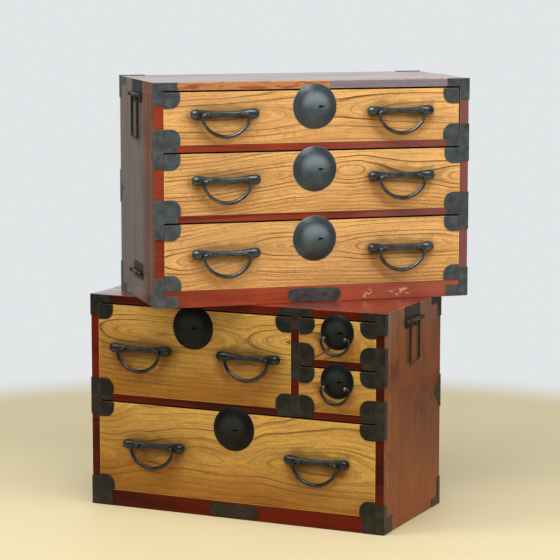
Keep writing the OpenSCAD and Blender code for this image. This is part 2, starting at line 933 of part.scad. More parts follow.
// A bar with its eyes and posts, about the point where its middle line meets the drawer
module handle_bar() {
    difference() {
        union() {
            translate([0, -bar_out, 0]) {
                for (s = [-1, 1])
                    rotate([0, s * 90, 0])
                        rotate_extrude()
                            bar_outline();
                for (s = [-1, 1])
                    translate([s * eye_x, -eye_out, 0])
                        eye(eye_l, eye_out);
            }
            for (s = [-1, 1])
                rod_y([-bar_out, front_t + 2 * corner_t + past], post_d, s * eye_x);
        }
        for (s = [-1, 1]) {
            translate([s * eye_x, -bar_out - eye_out, 0])
                eye_bore(eye_l);
            slab(
                s > 0 ? [eye_x + post_d, bar_l] : [-bar_l, -eye_x - post_d],
                [-joint_gap, knob_d],
                [-knob_d, knob_d]
            );
        }
    }
    for (s = [-1, 1])
        translate([s * eye_x, front_t + joint_gap, 0])
            difference() {
                rod_y([0, 2 * corner_t], 3 * post_d);
                rod_y([-past, 2 * corner_t + past], post_d + 4 * joint_gap);
            }
}

function small_eye_z(d) = disc_z(d) - small_eye_drop;

// The pair of eyes on a small lock plate, with stems that go through it into the wood
module small_eyes(d) {
    for (s = [-1, 1])
        translate([mid_x(d) + s * small_eye_x, face - small_eye_out, small_eye_z(d)])
            difference() {
                union() {
                    rod_x([-small_eye_l / 2, small_eye_l / 2], eye_d);
                    rod_y([0, small_eye_out + stem_depth], post_d);
                }
                eye_bore(post_d);
            }
}

module drawer_iron(d) {
    color(IRON) {
        corner_plates(d);
        lock_plate(d);
        lock_case(d);
        if (is_small(d))
            small_eyes(d);
        else
            for (side = [-1, 1])
                translate([bar_at(d, side), face, bar_z(d)])
                    handle_bar();
    }
}

// ---- Bails ----

function arc_angle(length, r) = length / r * 180 / PI;

// One bail in the XY plane with its pins on the X axis. The sides are arcs that run
// into a flatter bottom arc, so the radius of the bottom follows from width and drop.
// Each thinner wire ends a little inside the thicker one.
module bail_wire(a, drop, curl, wires, pin_from) {
    b = drop - curl;
    side_r = bail_roundness * b;
    bottom_r = (pow(a - side_r, 2) + b * b - side_r * side_r) / (2 * (b - side_r));
    bend = atan2(bottom_r - b, a - side_r);
    for (m = [0, 1])
        mirror([m, 0, 0]) {
            rod_x([pin_from, a - curl + wire_lap], pin_d);
            wire_arc([a - curl, -curl], curl, wires[2], -arc_angle(wire_lap, curl), 90);
            wire_arc([a - side_r, -curl], side_r, wires[1], -bend - arc_angle(wire_lap, side_r), 0);
        }
    wire_arc([0, bottom_r - drop], bottom_r, wires[0], bend - 180, -bend);
}

module drawer_bail(d, side) {
    color(IRON)
        translate([bar_at(d, side), face - bar_out - eye_out, bar_z(d)])
            rotate([90, 0, 0])
                bail_wire(bail_a, bail_drop, bail_curl, bail_wires, eye_x - eye_l / 2 - past);
}

module small_bail(d) {
    color(IRON)
        translate([mid_x(d), face - small_eye_out, small_eye_z(d)])
            rotate([90, 0, 0])
                bail_wire(small_bail_a, small_bail_drop, small_bail_curl, small_bail_wires,
                    small_eye_x - small_eye_l / 2 - past);
}

// ---- Nodes ----

bottom_board(LOWER);  // lower_bottom_board
top_board(LOWER);  // lower_top_board
side_boards(LOWER);  // lower_side_boards
back_boards(LOWER);  // lower_back_boards
rails(LOWER);  // lower_rails
inner_boards(LOWER);  // lower_inner_boards
straps(LOWER);  // lower_straps
handle_brackets(LOWER);  // lower_handle_brackets
in_case(UPPER) bottom_board(UPPER);  // upper_bottom_board
in_case(UPPER) top_board(UPPER);  // upper_top_board
in_case(UPPER) side_boards(UPPER);  // upper_side_boards
in_case(UPPER) back_boards(UPPER);  // upper_back_boards
in_case(UPPER) rails(UPPER);  // upper_rails
in_case(UPPER) inner_boards(UPPER);  // upper_inner_boards
in_case(UPPER) straps(UPPER);  // upper_straps
in_case(UPPER) handle_brackets(UPPER);  // upper_handle_brackets
in_case(UPPER) drawer_front(UPPER_LOW);  // upper_low_drawer_front
in_case(UPPER) drawer_box(UPPER_LOW);  // upper_low_drawer_box
in_case(UPPER) drawer_iron(UPPER_LOW);  // upper_low_drawer_iron
in_case(UPPER) lock_bolt(UPPER_LOW);  // upper_low_lock_bolt
in_case(UPPER) drawer_front(UPPER_MID);  // upper_mid_drawer_front
in_case(UPPER) drawer_box(UPPER_MID);  // upper_mid_drawer_box
in_case(UPPER) drawer_iron(UPPER_MID);  // upper_mid_drawer_iron
in_case(UPPER) lock_bolt(UPPER_MID);  // upper_mid_lock_bolt
in_case(UPPER) drawer_front(UPPER_TOP);  // upper_top_drawer_front
in_case(UPPER) drawer_box(UPPER_TOP);  // upper_top_drawer_box
in_case(UPPER) drawer_iron(UPPER_TOP);  // upper_top_drawer_iron
in_case(UPPER) lock_bolt(UPPER_TOP);  // upper_top_lock_bolt
drawer_front(LONG);  // long_drawer_front
drawer_box(LONG);  // long_drawer_box
drawer_iron(LONG);  // long_drawer_iron
lock_bolt(LONG);  // long_lock_bolt
drawer_front(WIDE);  // wide_drawer_front
drawer_box(WIDE);  // wide_drawer_box
drawer_iron(WIDE);  // wide_drawer_iron
lock_bolt(WIDE);  // wide_lock_bolt
drawer_front(SMALL_LOW);  // small_low_drawer_front
drawer_box(SMALL_LOW);  // small_low_drawer_box
drawer_iron(SMALL_LOW);  // small_low_drawer_iron
lock_bolt(SMALL_LOW);  // small_low_lock_bolt
drawer_front(SMALL_TOP);  // small_top_drawer_front
drawer_box(SMALL_TOP);  // small_top_drawer_box
drawer_iron(SMALL_TOP);  // small_top_drawer_iron
lock_bolt(SMALL_TOP);  // small_top_lock_bolt
in_case(UPPER) drawer_bail(UPPER_LOW, -1);  // upper_low_left_bail
in_case(UPPER) drawer_bail(UPPER_LOW, 1);  // upper_low_right_bail
in_case(UPPER) drawer_bail(UPPER_MID, -1);  // upper_mid_left_bail
in_case(UPPER) drawer_bail(UPPER_MID, 1);  // upper_mid_right_bail
in_case(UPPER) drawer_bail(UPPER_TOP, -1);  // upper_top_left_bail
in_case(UPPER) drawer_bail(UPPER_TOP, 1);  // upper_top_right_bail
drawer_bail(LONG, -1);  // long_left_bail
drawer_bail(LONG, 1);  // long_right_bail
drawer_bail(WIDE, -1);  // wide_left_bail
drawer_bail(WIDE, 1);  // wide_right_bail
small_bail(SMALL_LOW);  // small_low_bail
small_bail(SMALL_TOP);  // small_top_bail
carrying_bail(LOWER);  // lower_left_carrying_bail
mirror([1, 0, 0]) carrying_bail(LOWER);  // lower_right_carrying_bail
in_case(UPPER) carrying_bail(UPPER);  // upper_left_carrying_bail
in_case(UPPER) mirror([1, 0, 0]) carrying_bail(UPPER);  // upper_right_carrying_bail
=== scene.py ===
"""Dresses a stacking chest of drawers: lacquered boards, elm fronts and forged iron."""

import json
import math

import bmesh
import bpy
from bmesh.types import BMEdge, BMVert
from mathutils import Matrix, Vector

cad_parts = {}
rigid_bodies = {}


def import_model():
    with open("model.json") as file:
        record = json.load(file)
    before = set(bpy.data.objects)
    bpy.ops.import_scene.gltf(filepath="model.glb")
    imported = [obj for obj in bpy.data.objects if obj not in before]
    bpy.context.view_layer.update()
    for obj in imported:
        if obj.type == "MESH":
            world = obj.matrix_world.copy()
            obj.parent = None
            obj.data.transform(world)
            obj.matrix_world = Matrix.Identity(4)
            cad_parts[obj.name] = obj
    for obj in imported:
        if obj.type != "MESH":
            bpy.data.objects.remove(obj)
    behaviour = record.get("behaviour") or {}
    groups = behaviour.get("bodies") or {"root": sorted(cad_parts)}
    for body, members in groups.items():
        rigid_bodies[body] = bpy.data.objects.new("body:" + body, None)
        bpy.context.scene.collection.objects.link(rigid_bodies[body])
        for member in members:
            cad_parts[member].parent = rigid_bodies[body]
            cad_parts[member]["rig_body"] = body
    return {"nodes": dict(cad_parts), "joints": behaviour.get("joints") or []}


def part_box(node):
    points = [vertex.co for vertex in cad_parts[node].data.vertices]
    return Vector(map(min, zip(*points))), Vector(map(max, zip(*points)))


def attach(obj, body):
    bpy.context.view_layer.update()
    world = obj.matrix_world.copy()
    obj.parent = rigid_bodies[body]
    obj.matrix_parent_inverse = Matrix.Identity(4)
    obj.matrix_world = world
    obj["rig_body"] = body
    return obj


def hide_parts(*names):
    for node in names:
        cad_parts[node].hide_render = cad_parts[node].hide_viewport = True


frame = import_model()

bl_info = {
    "name": "Stacking chest of drawers",
    "version": (1, 0, 0),
    "blender": (4, 5, 0),
    "location": "View3D > Sidebar > Chest",
    "description": "Lacquer, elm and forged iron for a chest of drawers in two cases",
    "category": "Object",
}

NODES = frame["nodes"]
CASES = ("lower", "upper")
SMALL_DRAWERS = ("small_top", "small_low")
DRAWERS = ("upper_top", "upper_mid", "upper_low", "wide", *SMALL_DRAWERS, "long")
MM = 0.001


# ---- Places on the frame ----


def joint(name):
    """The frame's joint of that name."""
    return next(j for j in frame["joints"] if j["name"] == name)


def upper_place():
    """Where the upper case stands on the lower one."""
    out = joint("upper_low_drawer_slide")["axis"]
    low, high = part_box("upper_bottom_board")
    middle = (low + high) / 2
    turn = Matrix.Rotation(math.atan2(out[0], -out[1]), 4, "Z")
    return Matrix.Translation((middle.x, middle.y, low.z)) @ turn


PLACES = {"upper": upper_place(), "lower": Matrix.Identity(4)}
MERGE_REACH = 2e-6
WELD_REACH = 1e-6


def case_of(name):
    """The case that a node, drawer or finish belongs to."""
    return "upper" if name.startswith("upper") else "lower"


def joint_place(name):
    """Where a joint turns, square with its case."""
    return PLACES[case_of(name)].inverted() @ Vector(joint(name)["pos_m"])


def square_mesh(node):
    """A merged copy of a CAD node's mesh, turned square with its case."""
    bm = bmesh.new()
    bm.from_mesh(NODES[node].data)
    bmesh.ops.transform(bm, matrix=PLACES[case_of(node)].inverted(), verts=bm.verts[:])
    bmesh.ops.remove_doubles(bm, verts=bm.verts[:], dist=MERGE_REACH)
    return bm


def corners(verts):
    """Lowest and highest corner of some vertices."""
    low = Vector(min(v.co[i] for v in verts) for i in range(3))
    high = Vector(max(v.co[i] for v in verts) for i in range(3))
    return low, high


def square_box(node):
    """Lowest and highest corner of a CAD node, square with its case."""
    bm = square_mesh(node)
    box = corners(bm.verts)
    bm.free()
    return box


def linked(start):
    """The vertices that hang together with some vertices."""
    found, waiting = set(), list(start)
    while waiting:
        vert = waiting.pop()
        if vert not in found:
            found.add(vert)
            waiting.extend(e.other_vert(vert) for e in vert.link_edges)
    return found


def solids(bm):
    """The separate solids of a mesh: vertices, middle and size of each."""
    found, seen = [], set()
    for start in bm.verts:
        if start not in seen:
            group = linked([start])
            seen |= group
            low, high = corners(group)
            found.append((list(group), (low + high) / 2, high - low))
    return found


def solid_boxes(node):
    """Middle and size of each solid of a CAD node, square with its case."""
    bm = square_mesh(node)
    boxes = [(middle, size) for _, middle, size in solids(bm)]
    bm.free()
    return boxes


def kept_solids(node, keep):
    """A square mesh of those solids of a node that keep says yes to."""
    bm = square_mesh(node)
    for group, middle, size in solids(bm):
        if not keep(middle, size):
            bmesh.ops.delete(bm, geom=group, context="VERTS")
    return bm


# ---- Mesh work ----

FLAT = math.radians(0.5)
SHARP = math.radians(32)


def only(kind, geom):
    """Those of some mesh elements that are of one kind."""
    return [g for g in geom if isinstance(g, kind)]


def edges_of(parts):
    """The edges of some vertices or faces, each once."""
    return list({e for p in parts for e in (p.link_edges if isinstance(p, BMVert) else p.edges)})


def faces_of(verts):
    """The faces at some vertices, each once."""
    return list({f for v in verts for f in v.link_faces})


def bevel(bm, edges, width, segments=2):
    """Rounds some edges of a mesh and returns the new faces."""
    return bmesh.ops.bevel(bm, geom=edges, offset=width, offset_type="OFFSET", segments=segments, profile=0.5,
                           affect="EDGES", material=-1, clamp_overlap=True)["faces"]


def soften(bm, width, segments=2, merge=True, closed=None):
    """Rounds a mesh's sharp edges, but for those that closed says yes to, and marks the new faces as worn."""
    if merge:
        bmesh.ops.dissolve_limit(bm, angle_limit=FLAT, verts=bm.verts[:], edges=bm.edges[:])
    worn = bm.faces.layers.float.new("worn")
    sharp = [e for e in bm.edges if len(e.link_faces) == 2 and e.calc_face_angle() > SHARP]
    if closed:
        sharp = [e for e in sharp if not all(closed(v.co) for v in e.verts)]
    for face in bevel(bm, sharp, width, segments):
        face[worn] = 1.0


def spun(bm, profile, axis, centre=(0, 0, 0), steps=32):
    """Spins a profile of points right round an axis and closes it."""
    verts = [bm.verts.new(p) for p in profile]
    edges = [bm.edges.new(pair) for pair in zip(verts, verts[1:])]
    made = bmesh.ops.spin(bm, geom=verts + edges, cent=(0, 0, 0), axis=axis, angle=2 * math.pi, steps=steps,
                          use_merge=True)
    verts = list(linked(v for v in verts + only(BMVert, made["geom_last"]) if v.is_valid))
    merged = bmesh.ops.find_doubles(bm, verts=verts, dist=WELD_REACH)["targetmap"]
    bmesh.ops.weld_verts(bm, targetmap=merged)
    verts = [v for v in verts if v.is_valid]
    bmesh.ops.translate(bm, vec=centre, verts=verts)
    bmesh.ops.recalc_face_normals(bm, faces=faces_of(verts))
    return verts


def ring(bm, centre, axis, inner, outer, width, edge):
    """A forged ring or barrel with a bore, its edges eased."""
    half = width / 2
    outline = [(inner, -half), (outer - edge, -half), (outer, edge - half), (outer, half - edge),
               (outer - edge, half), (inner, half), (inner, -half)]
    profile = [Vector((0, 0, 1)) * r + Vector(axis) * t for r, t in outline]
    return spun(bm, profile, axis, centre, 28)


def swept(bm, points, radii, across, sides=18):
    """A round bar along some points, all in one plane that has across as its normal."""
    across = Vector(across)
    last, every = None, []
    for i, (point, radius) in enumerate(zip(points, radii)):
        ahead = (points[min(i + 1, len(points) - 1)] - points[max(i - 1, 0)]).normalized()
        turn = Matrix((across.cross(ahead), across, ahead)).transposed().to_4x4()
        station = Matrix.Translation(point) @ turn @ Matrix.Scale(radius, 4)
        if last is None:
            made = bmesh.ops.create_circle(bm, cap_ends=True, segments=sides, radius=1.0, matrix=station)
            verts = made["verts"]
            edges = edges_of(verts)
        else:
            made = bmesh.ops.extrude_edge_only(bm, edges=edges)["geom"]
            verts = only(BMVert, made)
            edges = [e for e in only(BMEdge, made) if all(v in verts for v in e.verts)]
            bmesh.ops.transform(bm, matrix=station @ last.inverted(), verts=verts)
        every += verts
        last = station
    bmesh.ops.contextual_create(bm, geom=edges)
    bmesh.ops.recalc_face_normals(bm, faces=faces_of(every))


def block(bm, low, high, edge):
    """A block between two corners, its edges eased."""
    low, high = Vector(low), Vector(high)
    matrix = Matrix.Translation((low + high) / 2) @ Matrix.Diagonal((*(high - low), 1))
    bevel(bm, edges_of(bmesh.ops.create_cube(bm, size=1.0, matrix=matrix)["verts"]), edge)


def paint(bm, choose):
    """Gives each face the number of its material, chosen from its direction and middle."""
    bm.normal_update()
    for face in bm.faces:
        face.material_index = choose(face.normal, face.calc_center_median())


def piece(name, bm, node, slot, *materials, angle=38):
    """Makes a mesh an object that rides with a CAD node's body and stands for the node."""
    bmesh.ops.transform(bm, matrix=PLACES[case_of(node)], verts=bm.verts[:])
    mesh = bpy.data.meshes.new(name)
    bm.to_mesh(mesh)
    bm.free()
    mesh.shade_smooth()
    mesh.set_sharp_from_angle(angle=math.radians(angle))
    for material in materials:
        mesh.materials.append(material)
    obj = bpy.data.objects.new(name, mesh)
    bpy.context.scene.collection.objects.link(obj)
    obj.modifiers.new("Even shading", "WEIGHTED_NORMAL").keep_sharp = True
    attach(obj, NODES[node]["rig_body"])
    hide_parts(node)


# ---- Sizes and colours ----


def tint(text):
    """A colour written as six hex digits, as linear red, green and blue."""
    parts = (int(text[i:i + 2], 16) / 255 for i in (0, 2, 4))
    return tuple(p / 12.92 if p <= 0.04045 else ((p + 0.055) / 1.055) ** 2.4 for p in parts)


def length(name, description, default):
    """A length that a user can change."""
    return bpy.props.FloatProperty(name=name, description=description, default=default, unit="LENGTH")


def colour(name, description, text):
    """A colour that a user can change, written as six hex digits."""
    return bpy.props.FloatVectorProperty(
        name=name, description=description, default=tint(text), subtype="COLOR")


class ChestSizes(bpy.types.PropertyGroup):
    """Sizes of the details that the frame leaves plain."""

    board_edge: length("Board edges", "Rounding of the boards' edges", 0.0009)
    iron_edge: length("Iron edges", "Rounding of the straps' and plates' edges", 0.0003)
    nail_width: length("Nail heads", "Width of a nail's head", 0.0036)
    nail_height: length("Nail crown", "Height of a nail's domed head", 0.0009)
    bar_out: length("Bar stand-off", "Height of a bar's middle line over the drawer", 0.009)
    eye_out: length("Eye stand-off", "Distance from a bar's middle line to its eyes' middle line", 0.0095)
    eye_x: length("Eye spacing", "Distance from a bar's middle to its eyes", 0.0355)
    eye_width: length("Eye diameter", "Outer diameter of an eye", 0.0085)
    pin_width: length("Pin diameter", "Diameter of a bail's pins", 0.0042)
    key_x: length("Keyhole offset", "Distance of a keyhole from its plate's middle", 0.010)
    plate_wall: length("Lock plate", "Thickness of the domed lock plates", 0.0015)


class ChestColours(bpy.types.PropertyGroup):
    """Colours of the chest's woods, lacquers and irons."""

    elm: colour("Upper elm", "Ground colour of the upper drawers", "ecb56e")
    elm_low: colour("Upper elm, low edge", "Elm near the upper drawers' bottom edges", "d59d5c")
    elm_line: colour("Upper rings", "Growth rings of the upper drawers", "5c3613")
    low_elm: colour("Lower elm", "Ground colour of the lower drawers", "cfa04c")
    low_elm_low: colour("Lower elm, low edge", "Elm near the lower drawers' bottom edges", "9a651c")
    low_elm_line: colour("Lower rings", "Growth rings of the lower drawers", "4a290b")
    lacquer: colour("Upper lacquer", "Red lacquer of the upper case", "9a381b")
    low_lacquer: colour("Lower lacquer", "Deep red lacquer of the lower case", "641804")
    side_lacquer: colour("Side lacquer", "Brown lacquer of the sides and tops", "7e4519")
    iron: colour("Iron", "Burnt and waxed iron", "626869")
    low_iron: colour("Lower iron", "Darker iron of the lower case", "35322c")
    rust: colour("Rust", "Rust on the iron", "5a3a2a")
    cedar: colour("Cedar", "Bare cedar inside the cases", "c4a377")
    plank: colour("Cedar heartwood", "Darker planks in the backs", "b6946a")
    floor: colour("Floor", "Plain pale floor", "cfc098")


def sizes():
    """The sizes set in the sidebar."""
    return bpy.context.scene.chest_sizes


def tone(text, factor=1.0):
    """A colour of the sidebar or in hex digits, made lighter or darker, with full opacity."""
    known = text in ChestColours.__annotations__
    plain = getattr(bpy.context.scene.chest_colours, text) if known else tint(text)
    return (*(min(1.0, c * factor) for c in plain), 1.0)


# ---- Node work ----


class Shading:
    """Adds nodes to a shader tree and links them."""

    def __init__(self, tree, vector=None):
        self.tree = tree
        self.vector = vector

    def add(self, kind, values=None, **settings):
        """Adds a node; a value that is a socket is linked."""
        node = self.tree.nodes.new("ShaderNode" + kind)
        node.location = (190 * (len(self.tree.nodes) % 12), -240 * (len(self.tree.nodes) // 12))
        for key, setting in settings.items():
            setattr(node, key, setting)
        for key, value in (values or {}).items():
            self.put(node.inputs[key], value)
        return node

    def put(self, socket, value):
        """Links or sets one input."""
        if isinstance(value, bpy.types.NodeSocket):
            self.tree.links.new(value, socket)
        else:
            socket.default_value = value

    def sum(self, operation, *values, clamp=False):
        """A Math node's result."""
        return self.add("Math", dict(enumerate(values)), operation=operation, use_clamp=clamp).outputs[0]

    def times(self, first, second, clamp=False):
        """One value times another."""
        return self.sum("MULTIPLY", first, second, clamp=clamp)

    def minus(self, first, second):
        """One value less another."""
        return self.sum("SUBTRACT", first, second)

    def line(self, value, slope, start):
        """A value times a slope, and a start added."""
        return self.sum("MULTIPLY_ADD", value, slope, start)

    def off(self, value):
        """How far a value is from 0."""
        return self.sum("ABSOLUTE", value)

    def oval(self, x, z, wide, high):
        """Distance from a middle, which is 1 on an oval with two half sizes."""
        across, up = self.sum("DIVIDE", x, wide), self.sum("DIVIDE", z, high)
        return self.sum("SQRT", self.line(across, across, self.times(up, up)))

    def noise(self, scale, detail=2.0, roughness=0.5, vector=None):
        """Noise from 0 to 1; a scale of three numbers stretches it."""
        vector = self.vector if vector is None else vector
        if isinstance(scale, tuple):
            stretched = self.add("VectorMath", {0: vector, 1: scale}, operation="MULTIPLY")
            vector, scale = stretched.outputs[0], 1.0
        return self.add("TexNoise", {
            "Vector": vector, "Scale": scale, "Detail": detail, "Roughness": roughness}).outputs[0]

    def wave(self, scale, detail=2.0, roughness=0.5):
        """Noise about 0."""
        return self.minus(self.noise(scale, detail, roughness), 0.5)

    def step(self, value, low, high, start=0.0, end=1.0):
        """A soft step from start to end while value goes from low to high."""
        return self.add("MapRange", {0: value, 1: low, 2: high, 3: start, 4: end},
                        interpolation_type="SMOOTHSTEP").outputs[0]

    def fade(self, value, low, high, start=1.0):
        """A soft step down to 0."""
        return self.step(value, low, high, start, 0.0)

    def mix(self, factor, first, second):
        """Two colours mixed."""
        return self.add("Mix", {0: factor, 6: first, 7: second}, data_type="RGBA").outputs[2]

    def parts(self, vector=None):
        """The three parts of a vector."""
        return self.add("SeparateXYZ", {0: self.vector if vector is None else vector}).outputs

    def curves(self, value, points):
        """Four smooth lines through points that each give a place and four levels from 0 to 1."""
        node = self.add("ValToRGB", {0: value})
        ramp = node.color_ramp
        ramp.interpolation = "CARDINAL"
        for i, (at, *levels) in enumerate(points):
            element = ramp.elements[i] if i < 2 else ramp.elements.new(at)
            element.position = at
            element.color = levels
        return (*self.parts(node.outputs["Color"]), node.outputs["Alpha"])

    def group(self, name, values):
        """Places a shared node group at the tree's own coordinates."""
        node = self.add("Group", node_tree=shared(name))
        for key, value in {"Vector": self.vector, **values}.items():
            self.put(node.inputs[key], value)
        return node.outputs


def new_group(name, inputs, outputs):
    """Starts a node group that takes a vector and some numbers: its shading, inputs and output node."""
    tree = bpy.data.node_groups.new(name, "ShaderNodeTree")
    tree.interface.new_socket(name="Vector", in_out="INPUT", socket_type="NodeSocketVector")
    for label, value in inputs.items():
        socket = tree.interface.new_socket(name=label, in_out="INPUT", socket_type="NodeSocketFloat")
        socket.default_value = value
    for label in outputs:
        tree.interface.new_socket(name=label, in_out="OUTPUT", socket_type="NodeSocketFloat")
    given = tree.nodes.new("NodeGroupInput").outputs
    return Shading(tree, given["Vector"]), given, tree.nodes.new("NodeGroupOutput").inputs


def timber_group():
    """Growth rings, fibres and pores of a sawn board whose grain runs along X."""
    s, given, out = new_group(
        "Timber",
        {"Heart depth": 0.02, "Heart height": 0.0, "Above": 1.0, "Ring width": 0.009, "Sway": 0.007},
        ("Rings", "Bands", "Streaks", "Fibres", "Pores", "Clouds"))
    depth, width = given["Heart depth"], given["Ring width"]
    x, _, height = s.parts()
    sway = s.times(s.wave((5, 5, 16), 2.5, 0.45), given["Sway"])
    away = s.sum("ADD", s.minus(height, given["Heart height"]), sway)
    above = s.step(away, -0.001, 0.001)
    away = s.times(away, s.line(above, s.minus(given["Above"], 1.0), 1.0))
    radius = s.sum("SQRT", s.line(away, away, s.times(depth, depth)))
    year = s.line(s.noise((1.5, 1.5, 26), 1.0), 0.8, s.sum("DIVIDE", radius, width))
    part = s.sum("FRACT", year)
    before = s.times(s.minus(1.0, part), width)
    chance = s.add("TexWhiteNoise", {"W": s.sum("FLOOR", year)}, noise_dimensions="1D").outputs[0]
    strength = s.step(chance, 0.0, 1.0, 0.25, 1.0)
    line = s.times(s.fade(before, 0.0007, 0.0022), strength)
    along = s.add("CombineXYZ", {0: s.times(x, 6.0), 2: s.times(radius, 750.0)}).outputs[0]
    s.put(out["Rings"], s.times(line, s.step(s.off(away), 0.012, 0.045, 1.0, 0.7)))
    s.put(out["Bands"], s.times(s.step(part, 0.3, 1.0), strength))
    s.put(out["Streaks"], s.step(s.noise(1.0, 3.0, 0.65, along), 0.47, 0.66))
    s.put(out["Fibres"], s.step(s.noise((40, 60, 1100), 2.0, 0.6), 0.5, 0.76))
    s.put(out["Pores"], s.step(s.noise((150, 400, 1500), 1.0), 0.56, 0.70))
    s.put(out["Clouds"], s.noise((4, 4, 11), 3.0, 0.55))
    return s.tree


def edge_group():
    """A ragged band along the edges of a flat rectangle that faces along Y."""
    s, given, out = new_group(
        "Edge band", {"Half width": 0.3, "Half height": 0.05, "Band": 0.002, "Ragged": 0.002}, ("Mask",))
    x, _, z = s.parts()
    near = s.sum("MINIMUM", s.minus(given["Half width"], s.off(x)), s.minus(given["Half height"], s.off(z)))
    near = s.line(s.wave(140.0, 3.0), given["Ragged"], near)
    s.put(out["Mask"], s.minus(1.0, s.step(s.sum("DIVIDE", near, given["Band"]), 0.4, 1.0)))
    return s.tree


def scratch_group():
    """Short scratches and small dents, few and far between."""
    s, given, out = new_group("Scratches", {"Amount": 0.5}, ("Mask",))
    masks = []
    for angle, place in ((1.1, 0.0), (-0.7, 3.1)):
        turned = s.add("VectorRotate", {"Vector": s.vector, "Angle": angle}, rotation_type="Y_AXIS")
        moved = s.add("VectorMath", {0: turned.outputs[0], 1: (place,) * 3}, operation="ADD").outputs[0]
        thin = s.step(s.noise((55, 200, 1100), 0.0, vector=moved), 0.70, 0.78)
        masks.append(s.times(thin, s.step(s.noise(26.0, 1.0, vector=moved), 0.56, 0.64)))
    s.put(out["Mask"], s.times(s.sum("MAXIMUM", *masks), given["Amount"]))
    return s.tree


def handle_marks_and_shade_group():
    """Marks round a drawer's handles: dirt and painted shade round the bars, and rust marks with the bails'
    painted shadow below them.
    """
    s, given, out = new_group(
        "Handling marks", {"Reach": 0.18, "Height": 0.0, "Size": 1.0}, ("Grime", "Stain"))
    x, _, z = s.parts()
    beside = s.sum("DIVIDE", s.minus(s.off(x), given["Reach"]), given["Size"])
    above = s.sum("DIVIDE", s.minus(z, given["Height"]), given["Size"])
    rough = s.times(s.wave(38.0, 3.0), 0.9)

    def round_handle(wide, high, lift):
        return s.sum("ADD", s.oval(beside, s.minus(above, lift), wide, high), rough)

    # Darker round each bar: dirt, and painted shade.
    s.put(out["Grime"], s.fade(round_handle(0.088, 0.022, 0.001), 0.55, 1.15))
    # A band along each bail's lower outline: rust marks, and the bail's painted shadow.
    rim = round_handle(0.05, 0.034, -0.0165)
    band = s.times(s.step(rim, 0.72, 0.98), s.fade(rim, 1.04, 1.5))
    s.put(out["Stain"], s.times(band, s.fade(above, -0.004, 0.004)))
    return s.tree


def iron_group():
    """Tone, rust and hammer marks of forged iron."""
    s, given, out = new_group("Forged iron", {"Hammer": 110.0, "Rust": 0.4}, ("Tone", "Rust", "Height"))
    dents = s.add("TexVoronoi", {"Vector": s.vector, "Scale": given["Hammer"], "Smoothness": 0.9},
                  feature="SMOOTH_F1").outputs["Distance"]
    grain = s.noise(900.0, 3.0, 0.6)
    s.put(out["Tone"], s.line(grain, 0.35, s.times(s.noise(60.0, 4.0), 0.65)))
    specks = s.step(s.noise(520.0, 2.0), 0.60, 0.70)
    bloom = s.step(s.noise(45.0, 3.0, 0.6), 0.50, 0.68)
    both = s.sum("MAXIMUM", s.times(specks, s.line(bloom, 0.7, 0.3)), s.times(bloom, 0.25))
    s.put(out["Rust"], s.times(both, given["Rust"], clamp=True))
    s.put(out["Height"], s.line(grain, 0.12, dents))
    return s.tree


GROUP_MAKERS = {"timber": timber_group, "edge": edge_group, "scratch": scratch_group,
                "handling": handle_marks_and_shade_group, "iron": iron_group}
GROUPS = {}


def shared(name):
    """The shader node group of that name, built on its first use."""
    if name not in GROUPS:
        GROUPS[name] = GROUP_MAKERS[name]()
    return GROUPS[name]


class Surface(Shading):
    """A new material: its shader, its coordinates square with its case, and its colour so far."""

    def __init__(self, name, middle=(0, 0, 0), upright=False):
        self.material = bpy.data.materials.new(name)
        self.material.use_nodes = True
        super().__init__(self.material.node_tree)
        self.shader = self.tree.nodes["Principled BSDF"]
        place = PLACES[case_of(name)] @ Matrix.Translation(middle)
        if upright:
            place = place @ Matrix.Rotation(math.pi / 2, 4, "Y")
        self.vector = self.seen_from(place, "Object")
        self.colour = None

    def seen_from(self, place, output):
        """Coordinates of one kind as they are from a place."""
        return self.add("Mapping", {
            "Vector": self.add("TexCoord").outputs[output], "Location": place.to_translation(),
            "Rotation": place.to_euler()}, vector_type="TEXTURE").outputs[0]

    def lay(self, mask, over, amount=1):
        """Lays a colour over what is there, as far as a mask and an amount say."""
        if amount != 1:
            mask = self.times(mask, amount)
        self.colour = self.mix(mask, self.colour, over)

    def grain(self, wood, text, **masks):
        """Lays the masks of a wood over the colour, each by an amount and with the colour's factor."""
        for mask, (amount, factor) in masks.items():
            self.lay(wood[mask], tone(text, factor), amount)

    def rubbed(self):
        """Where edges are softened."""
        return self.add("Attribute", attribute_name="worn").outputs["Fac"]

    def done(self, roughness, height, depth, strength, values):
        """Joins the colour, a roughness, a bump and other values to the shader and gives the material."""
        bump = self.add("Bump", {"Height": height, "Distance": depth, "Strength": strength})
        values = {"Base Color": self.colour, "Roughness": roughness, "Normal": bump.outputs[0], **values}
        for key, value in values.items():
            self.put(self.shader.inputs[key], value)
        return self.material


# ---- Finishes ----

# What a level from 0 to 1 of a board's curves stands for, in metres
SPAN = 0.1
CORNER_PLATE = 0.032
BAR_LENGTH = 0.1

